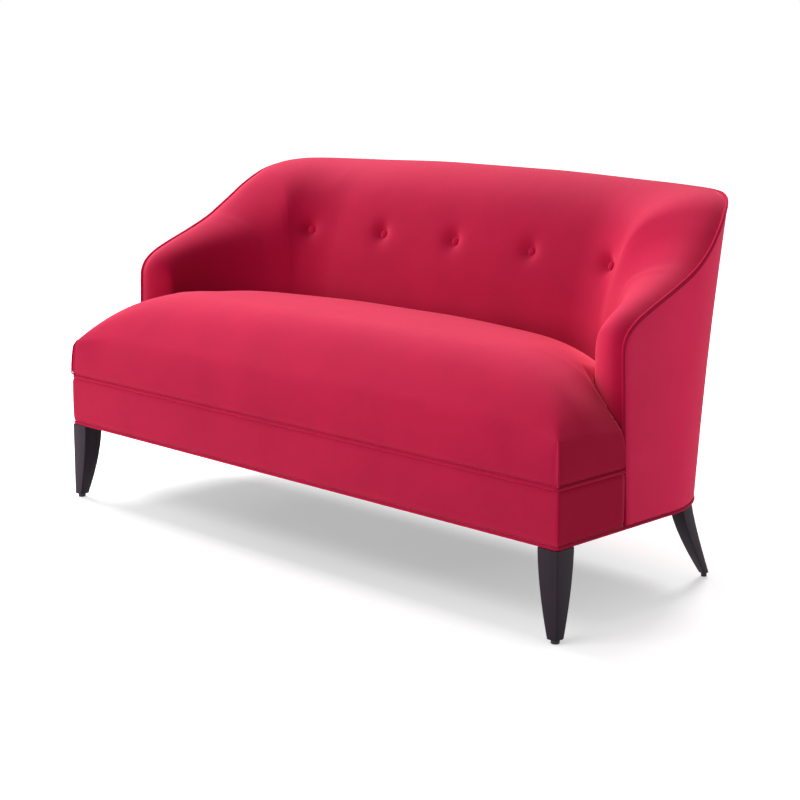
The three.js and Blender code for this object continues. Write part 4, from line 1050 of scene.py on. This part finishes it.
def crown_rise(depth, wall_round):
    """Height of the seat over its seam at a distance in from its edge."""
    wall = np.clip(1 - depth / wall_round, 0, 1)
    roll = np.clip(1 - depth / SEAT_ROLL, 0, 1)
    return SEAT_WALL * np.sqrt(1 - wall**2) + SEAT_DOME * (1 - roll**SEAT_ROLL_POWER)


def seat_rise(x, y):
    """Height of the seat over its seam: full along the front, sunk to a crease along arms and back."""
    from_side, from_front = seat_half - np.abs(x), y - WELT_PROUD
    ear = smooth(y, EAR_START, ARM_SETBACK)
    side = np.maximum(from_side, TINY) / mix(FRONT_FULLNESS, SIDE_FULLNESS, ear)
    front = np.maximum(from_front, TINY) / FRONT_FULLNESS
    power = math.log(2) / math.log(1 / FRONT_FULLNESS)
    depth = (side**-power + front**-power) ** (-1 / power)
    wall_round = mix(SIDE_WALL_ROUND, FRONT_WALL_ROUND, smooth(from_side - from_front, 0, CORNER_REACH))
    near_side = 1 - smooth(from_side, *EAR_SINK_FADE)
    sink = EAR_SINK * (1 - np.exp(-from_side / EAR_SINK_EDGE)) * near_side * ear
    across = np.maximum(0, np.abs(x) - (SEATING_WIDTH / 2 - SEATING_CORNER))
    behind = np.maximum(0, y - (SEATING_DEPTH - SEATING_CORNER))
    to_crease = np.maximum(0, SEATING_CORNER - SEAT_CLEARANCE - np.hypot(across, behind))
    corner = smooth(np.abs(x), *CREASE_CORNER)
    fall = np.exp(-((to_crease / mix(*CREASE_WIDTH, corner)) ** CREASE_POWER))
    crease = mix(*CREASE_DEPTH, corner) * fall * smooth(y, *CREASE_FRONT)
    beside_arms = smooth(y, ARM_SETBACK, ARM_SETBACK + TUCK_ONSET)
    tuck = TUCK[0] * np.exp(-((to_crease / TUCK[1]) ** 2)) * beside_arms
    settled = np.hypot(x - SETTLED[0], y - SETTLED[1]) / SETTLED_REACH
    crease = crease + SETTLED_DEPTH * np.exp(-(settled**2))
    return np.maximum(crown_rise(depth, wall_round) - sink - crease - tuck, 0)


def profile_places(reach, fullness, wall_round, step):
    """Distances in from the seat's edge, even along its cross-section."""
    fine = reach * np.linspace(0, 1, PROFILE_SAMPLES) ** EDGE_CROWDING
    path = np.stack([fine, crown_rise(fine / fullness, wall_round)], axis=1)
    return resample(path, step)[:, 0]


def ear_end(x):
    """Where the seat's ears end against the padded front of the arm."""
    order = np.argsort(arm_nose[:, 0])
    return np.interp(np.abs(x), arm_nose[order, 0], arm_nose[order, 1]) - SEAT_CLEARANCE


ear_step, front_step = SEAT_STEP * EAR_STEP_SHARE, SEAT_STEP * FRONT_STEP_SHARE
ear_lines = seat_half - profile_places(seat_half - inner_half, 1, SIDE_WALL_ROUND, ear_step)[::-1]
middle_lines = np.linspace(0, inner_half, int(inner_half / SEAT_STEP) + 1)
half_lines = np.concatenate([middle_lines[:-1], ear_lines])
seat_lines = np.concatenate([-half_lines[:0:-1], half_lines])
ends = np.minimum(ear_end(np.maximum(np.abs(seat_lines), inner_half)), band_end)
front_reach = ends.min() - WELT_PROUD
front_rows = profile_places(front_reach, FRONT_FULLNESS, FRONT_WALL_ROUND, front_step)
back_count = int((seat_back - ends[len(ends) // 2]) / SEAT_STEP) + 1


def seat_grid():
    """Points of the seat's upper side, from its front seam to the back."""
    rows = []
    for row in front_rows:
        y = WELT_PROUD + row + (ends - WELT_PROUD - front_reach) * (row / front_reach) ** EDGE_CROWDING
        rows.append(np.stack([seat_lines, y, seat_foot + seat_rise(seat_lines, y)], axis=-1))
    inner_end = ends[len(ends) // 2]
    for row in np.linspace(inner_end, seat_back, back_count)[1:]:
        x = np.clip(seat_lines, -inner_half, inner_half) * seat_half_width(row) / inner_half
        y = np.full_like(x, row)
        rows.append(np.stack([x, y, seat_foot + seat_rise(x, y)], axis=-1))
    return np.array(rows).swapaxes(0, 1)


def pucker(grid):
    """Pulls the front face in beside the corner seams, and front and sides in along the piping."""
    beside = (seat_half - np.abs(grid[..., 0]) - PUCKER_PLACE) / PUCKER_WIDTH
    rise = grid[..., 2] - seat_foot
    below, above = (share * SEAM_HEIGHT for share in PUCKER_TOP_SHARES)
    level = smooth(rise, 0, PUCKER_ONSET) * (1 - smooth(rise, below, above))
    on_front = 1 - smooth(grid[..., 1], *PUCKER_REACH)
    pulled = grid.copy()
    pulled[..., 1] += PUCKER_DEPTH * np.exp(-(beside**2)) * level * on_front
    groove = SEAT_GROOVE * (1 - smooth(rise, 0, GROOVE_RISE))
    at_side = (seat_half - np.abs(grid[..., 0]) < AT_EDGE) & (grid[..., 1] < ARM_SETBACK)
    pulled[..., 0] -= np.sign(grid[..., 0]) * groove * at_side
    pulled[..., 1] += groove * (grid[..., 1] - WELT_PROUD < AT_EDGE)
    return pulled


top = pucker(seat_grid())
floor_of_seat = top.copy()
floor_of_seat[..., 2] = seat_foot
cells = np.ones((len(seat_lines) - 1, top.shape[1] - 1), bool)
outside_inner = np.abs((seat_lines[1:] + seat_lines[:-1]) / 2) > inner_half
cells[outside_inner, len(front_rows) - 1:] = False
top[..., 2] = np.maximum(top[..., 2], seat_foot + SEAT_LEAST_RISE)
seat, seat_ids = slab("seat_upholstery", top, floor_of_seat, cells, sharp=60)
at_corner = (seat_half - np.abs(top[..., 0]) < HELD_CORNER) & (top[..., 1] - WELT_PROUD < HELD_CORNER)
held = set(seat_ids[1].ravel()) | set(seat_ids[0][(top[..., 2] < seat_foot + HELD_FOOT) | at_corner])
held |= set(seat_ids[0][:, -1])
for k, line in enumerate(seat_lines):
    if abs(line) >= inner_half - TINY:
        held |= set(seat_ids[0][k, len(front_rows) - 2:])
held.discard(-1)
inflate(seat, seat_ids[0], held, SEAT_PRESSURE, SEAT_SWELL)
# Painted shade where the seat faces right, off its crown
lay_painted_light_and_shade(seat, seat_painted_shade)
refine(seat)
keep(seat, PAINTED_LIGHT_AND_SHADE_VELVET, "velvet", "seat_cover", "seat_foam")


# Seams up the seat's front corners

wall_heights = np.linspace(0, SEAM_HEIGHT, SEAM_ROWS)
wall_depths = np.linspace(0, 2 * SIDE_WALL_ROUND, SEAM_SAMPLES)
seam_depths = np.interp(wall_heights, crown_rise(wall_depths, SIDE_WALL_ROUND), wall_depths)
ends_in = 1 - smooth(wall_heights, 0, SEAM_ENDS[0]) + smooth(SEAM_HEIGHT - wall_heights, SEAM_ENDS[1], 0)
corner_depths = seam_depths - SEAM_PROUD + SEAM_SINK * ends_in
for hand, side in (("right", 1), ("left", -1)):
    x, y, z = side * (seat_half - corner_depths), WELT_PROUD + corner_depths, seat_foot + wall_heights
    seam = cord(f"seat_corner_seam_{hand}", np.stack([x, y, z], axis=1), SEAM_RADIUS, sides=SEAM_SIDES)
    keep(seam, VELVET, "velvet")


# Legs and glides


def leg_ring(cx, cy, half, z):
    """Square section with rounded edges."""
    ring = []
    for k in range(4):
        start = k * math.pi / 2
        toward = start + math.pi / 4
        sx, sy = math.copysign(1, math.cos(toward)), math.copysign(1, math.sin(toward))
        corner = (cx + sx * (half - LEG_EDGE), cy + sy * (half - LEG_EDGE))
        ring += [(*spot, z) for spot in arc(*corner, LEG_EDGE, start, LEG_EDGE_STEPS)]
    return np.array(ring)


def leg_levels():
    """Heights up a leg, each with its share of the way."""
    low, high = GLIDE_HEIGHT + GAP, LEG_HEIGHT - GAP
    return [(mix(low, high, k / LEG_ROWS), k / LEG_ROWS) for k in range(LEG_ROWS + 1)]


def leg_side(sizes, up):
    """Side of a leg's square at a share of the way up."""
    foot, head = sizes
    return mix(foot, head, 1 - (1 - up) ** LEG_TAPER_POWER)


def leg(side, sizes, spot):
    """Rings up a leg, with its middle at a spot that follows the way up and the size there."""
    rings = []
    for z, up in leg_levels():
        size = leg_side(sizes, up)
        x, y = spot(up, size)
        rings.append(leg_ring(side * x, y, size / 2, z))
    return rings


def front_spot(up, size):
    return WIDTH / 2 - size / 2, size / 2


def rear_spot(up, size):
    return REAR_LEG_PLACE[0], REAR_LEG_PLACE[1] + REAR_LEG_KICK * (1 - up) ** SABRE_POWER


def glide(cx, cy, radius):
    """Rings of a round glide with a bevelled foot."""
    bevel = GLIDE_BEVEL_SHARE * GLIDE_EDGE
    edge = [(radius - GLIDE_EDGE, 0), (radius - bevel, bevel), (radius, GLIDE_EDGE)]
    angles = np.linspace(0, 2 * math.pi, GLIDE_SIDES, endpoint=False)
    return [np.stack([cx + r * np.cos(angles), cy + r * np.sin(angles), h + 0 * angles], axis=1)
            for r, h in [*edge, (radius, GLIDE_HEIGHT)]]


for hand, side in (("right", 1), ("left", -1)):
    tapered = loft(f"front_leg_turned_{hand}", leg(side, FRONT_LEG, front_spot), sharp=50)
    keep(tapered, LEG_WOOD, "leg_wood", f"front_leg_{hand}")
    sabre = loft(f"rear_leg_sabre_{hand}", leg(side, REAR_LEG, rear_spot), sharp=50)
    keep(sabre, LEG_WOOD, "leg_wood", f"rear_leg_{hand}")
    feet = {"front": (side * (WIDTH - FRONT_LEG[0]) / 2, FRONT_LEG[0] / 2),
            "rear": (side * REAR_LEG_PLACE[0], REAR_LEG_PLACE[1] + REAR_LEG_KICK)}
    for end, (cx, cy) in feet.items():
        piece = loft(f"{end}_glide_disc_{hand}", glide(cx, cy, GLIDE_RADII[end]), sharp=50)
        keep(piece, PLASTIC, "glide_plastic", f"{end}_glide_{hand}")


# Camera, floor and light

camera_data = bpy.data.cameras.new("camera")
camera_data.sensor_width = SENSOR_WIDTH
camera_data.lens = FOCAL_PIXELS * SENSOR_WIDTH / IMAGE_PIXELS
camera_data.shift_y = SHIFT_PIXELS / IMAGE_PIXELS
camera = bpy.data.objects.new("camera", camera_data)
camera.location = CAMERA_PLACE
looking = Vector((-math.sin(YAW) * math.cos(PITCH), math.cos(YAW) * math.cos(PITCH), -math.sin(PITCH)))
camera.rotation_euler = looking.to_track_quat("-Z", "Y").to_euler()
bpy.context.scene.collection.objects.link(camera)
bpy.context.scene.camera = camera


def camera_sees(tree):
    """1 for rays that show the surroundings themselves: seen, reflected or seen through."""
    rays = tree.nodes.new("ShaderNodeLightPath").outputs
    seen = rays["Is Camera Ray"]
    for kind in ("Is Glossy Ray", "Is Transmission Ray"):
        either = tree.nodes.new("ShaderNodeMath")
        either.operation = "MAXIMUM"
        tree.links.new(seen, either.inputs[0])
        tree.links.new(rays[kind], either.inputs[1])
        seen = either.outputs[0]
    return seen


world = bpy.data.worlds.new("studio")
world.use_nodes = True
bpy.context.scene.world = world
background = world.node_tree.nodes["Background"]
background.inputs["Color"].default_value = (1, 1, 1, 1)
strength = world.node_tree.nodes.new("ShaderNodeMix")
strength.inputs["A"].default_value = ROOM_LIGHT
strength.inputs["B"].default_value = SEEN_WHITE
world.node_tree.links.new(camera_sees(world.node_tree), strength.inputs["Factor"])
world.node_tree.links.new(strength.outputs["Result"], background.inputs["Strength"])


def floor_material():
    """White floor that takes a shadow, and away from the settee glows as white as the background."""
    nodes = Nodes("floor")
    tree = nodes.tree
    nodes.finish(Base_Color=(0.8, 0.8, 0.81, 1), Roughness=0.9, Specular_IOR_Level=0.0)
    away = nodes.add("ShaderNodeVectorMath", {0: nodes.place}, operation="LENGTH").outputs["Value"]
    (near, far), (low, high) = FLOOR_GLOW_REACH, FLOOR_GLOW
    reach = {"Value": away, "From Min": near, "From Max": far, "To Min": low, "To Max": high}
    rise = nodes.add("ShaderNodeMapRange", reach)
    glow = nodes.add("ShaderNodeEmission", {"Color": (1, 1, 1, 1), "Strength": rise.outputs["Result"]})
    none = nodes.add("ShaderNodeEmission", {"Strength": 0.0})
    choice = nodes.add("ShaderNodeMixShader", {0: camera_sees(tree)})
    tree.links.new(none.outputs[0], choice.inputs[1])
    tree.links.new(glow.outputs[0], choice.inputs[2])
    both = nodes.add("ShaderNodeAddShader")
    tree.links.new(nodes.shader.outputs[0], both.inputs[0])
    tree.links.new(choice.outputs[0], both.inputs[1])
    tree.links.new(both.outputs[0], tree.nodes["Material Output"].inputs["Surface"])
    return nodes.material


bpy.ops.mesh.primitive_plane_add(size=FLOOR_SIZE, location=(0, 0, 0))
floor = bpy.context.object
floor.name = "floor"
floor.data.materials.append(floor_material())


def lamp(name, place, aim, size, power):
    data = bpy.data.lights.new(name, "AREA")
    data.shape = "RECTANGLE"
    data.size, data.size_y = size
    data.energy = power
    light = bpy.data.objects.new(name, data)
    light.location = place
    light.rotation_euler = (Vector(aim) - Vector(place)).to_track_quat("-Z", "Y").to_euler()
    bpy.context.scene.collection.objects.link(light)


for name, setting in LAMPS.items():
    lamp(name, *setting)

bpy.context.scene.view_settings.view_transform = "Standard"
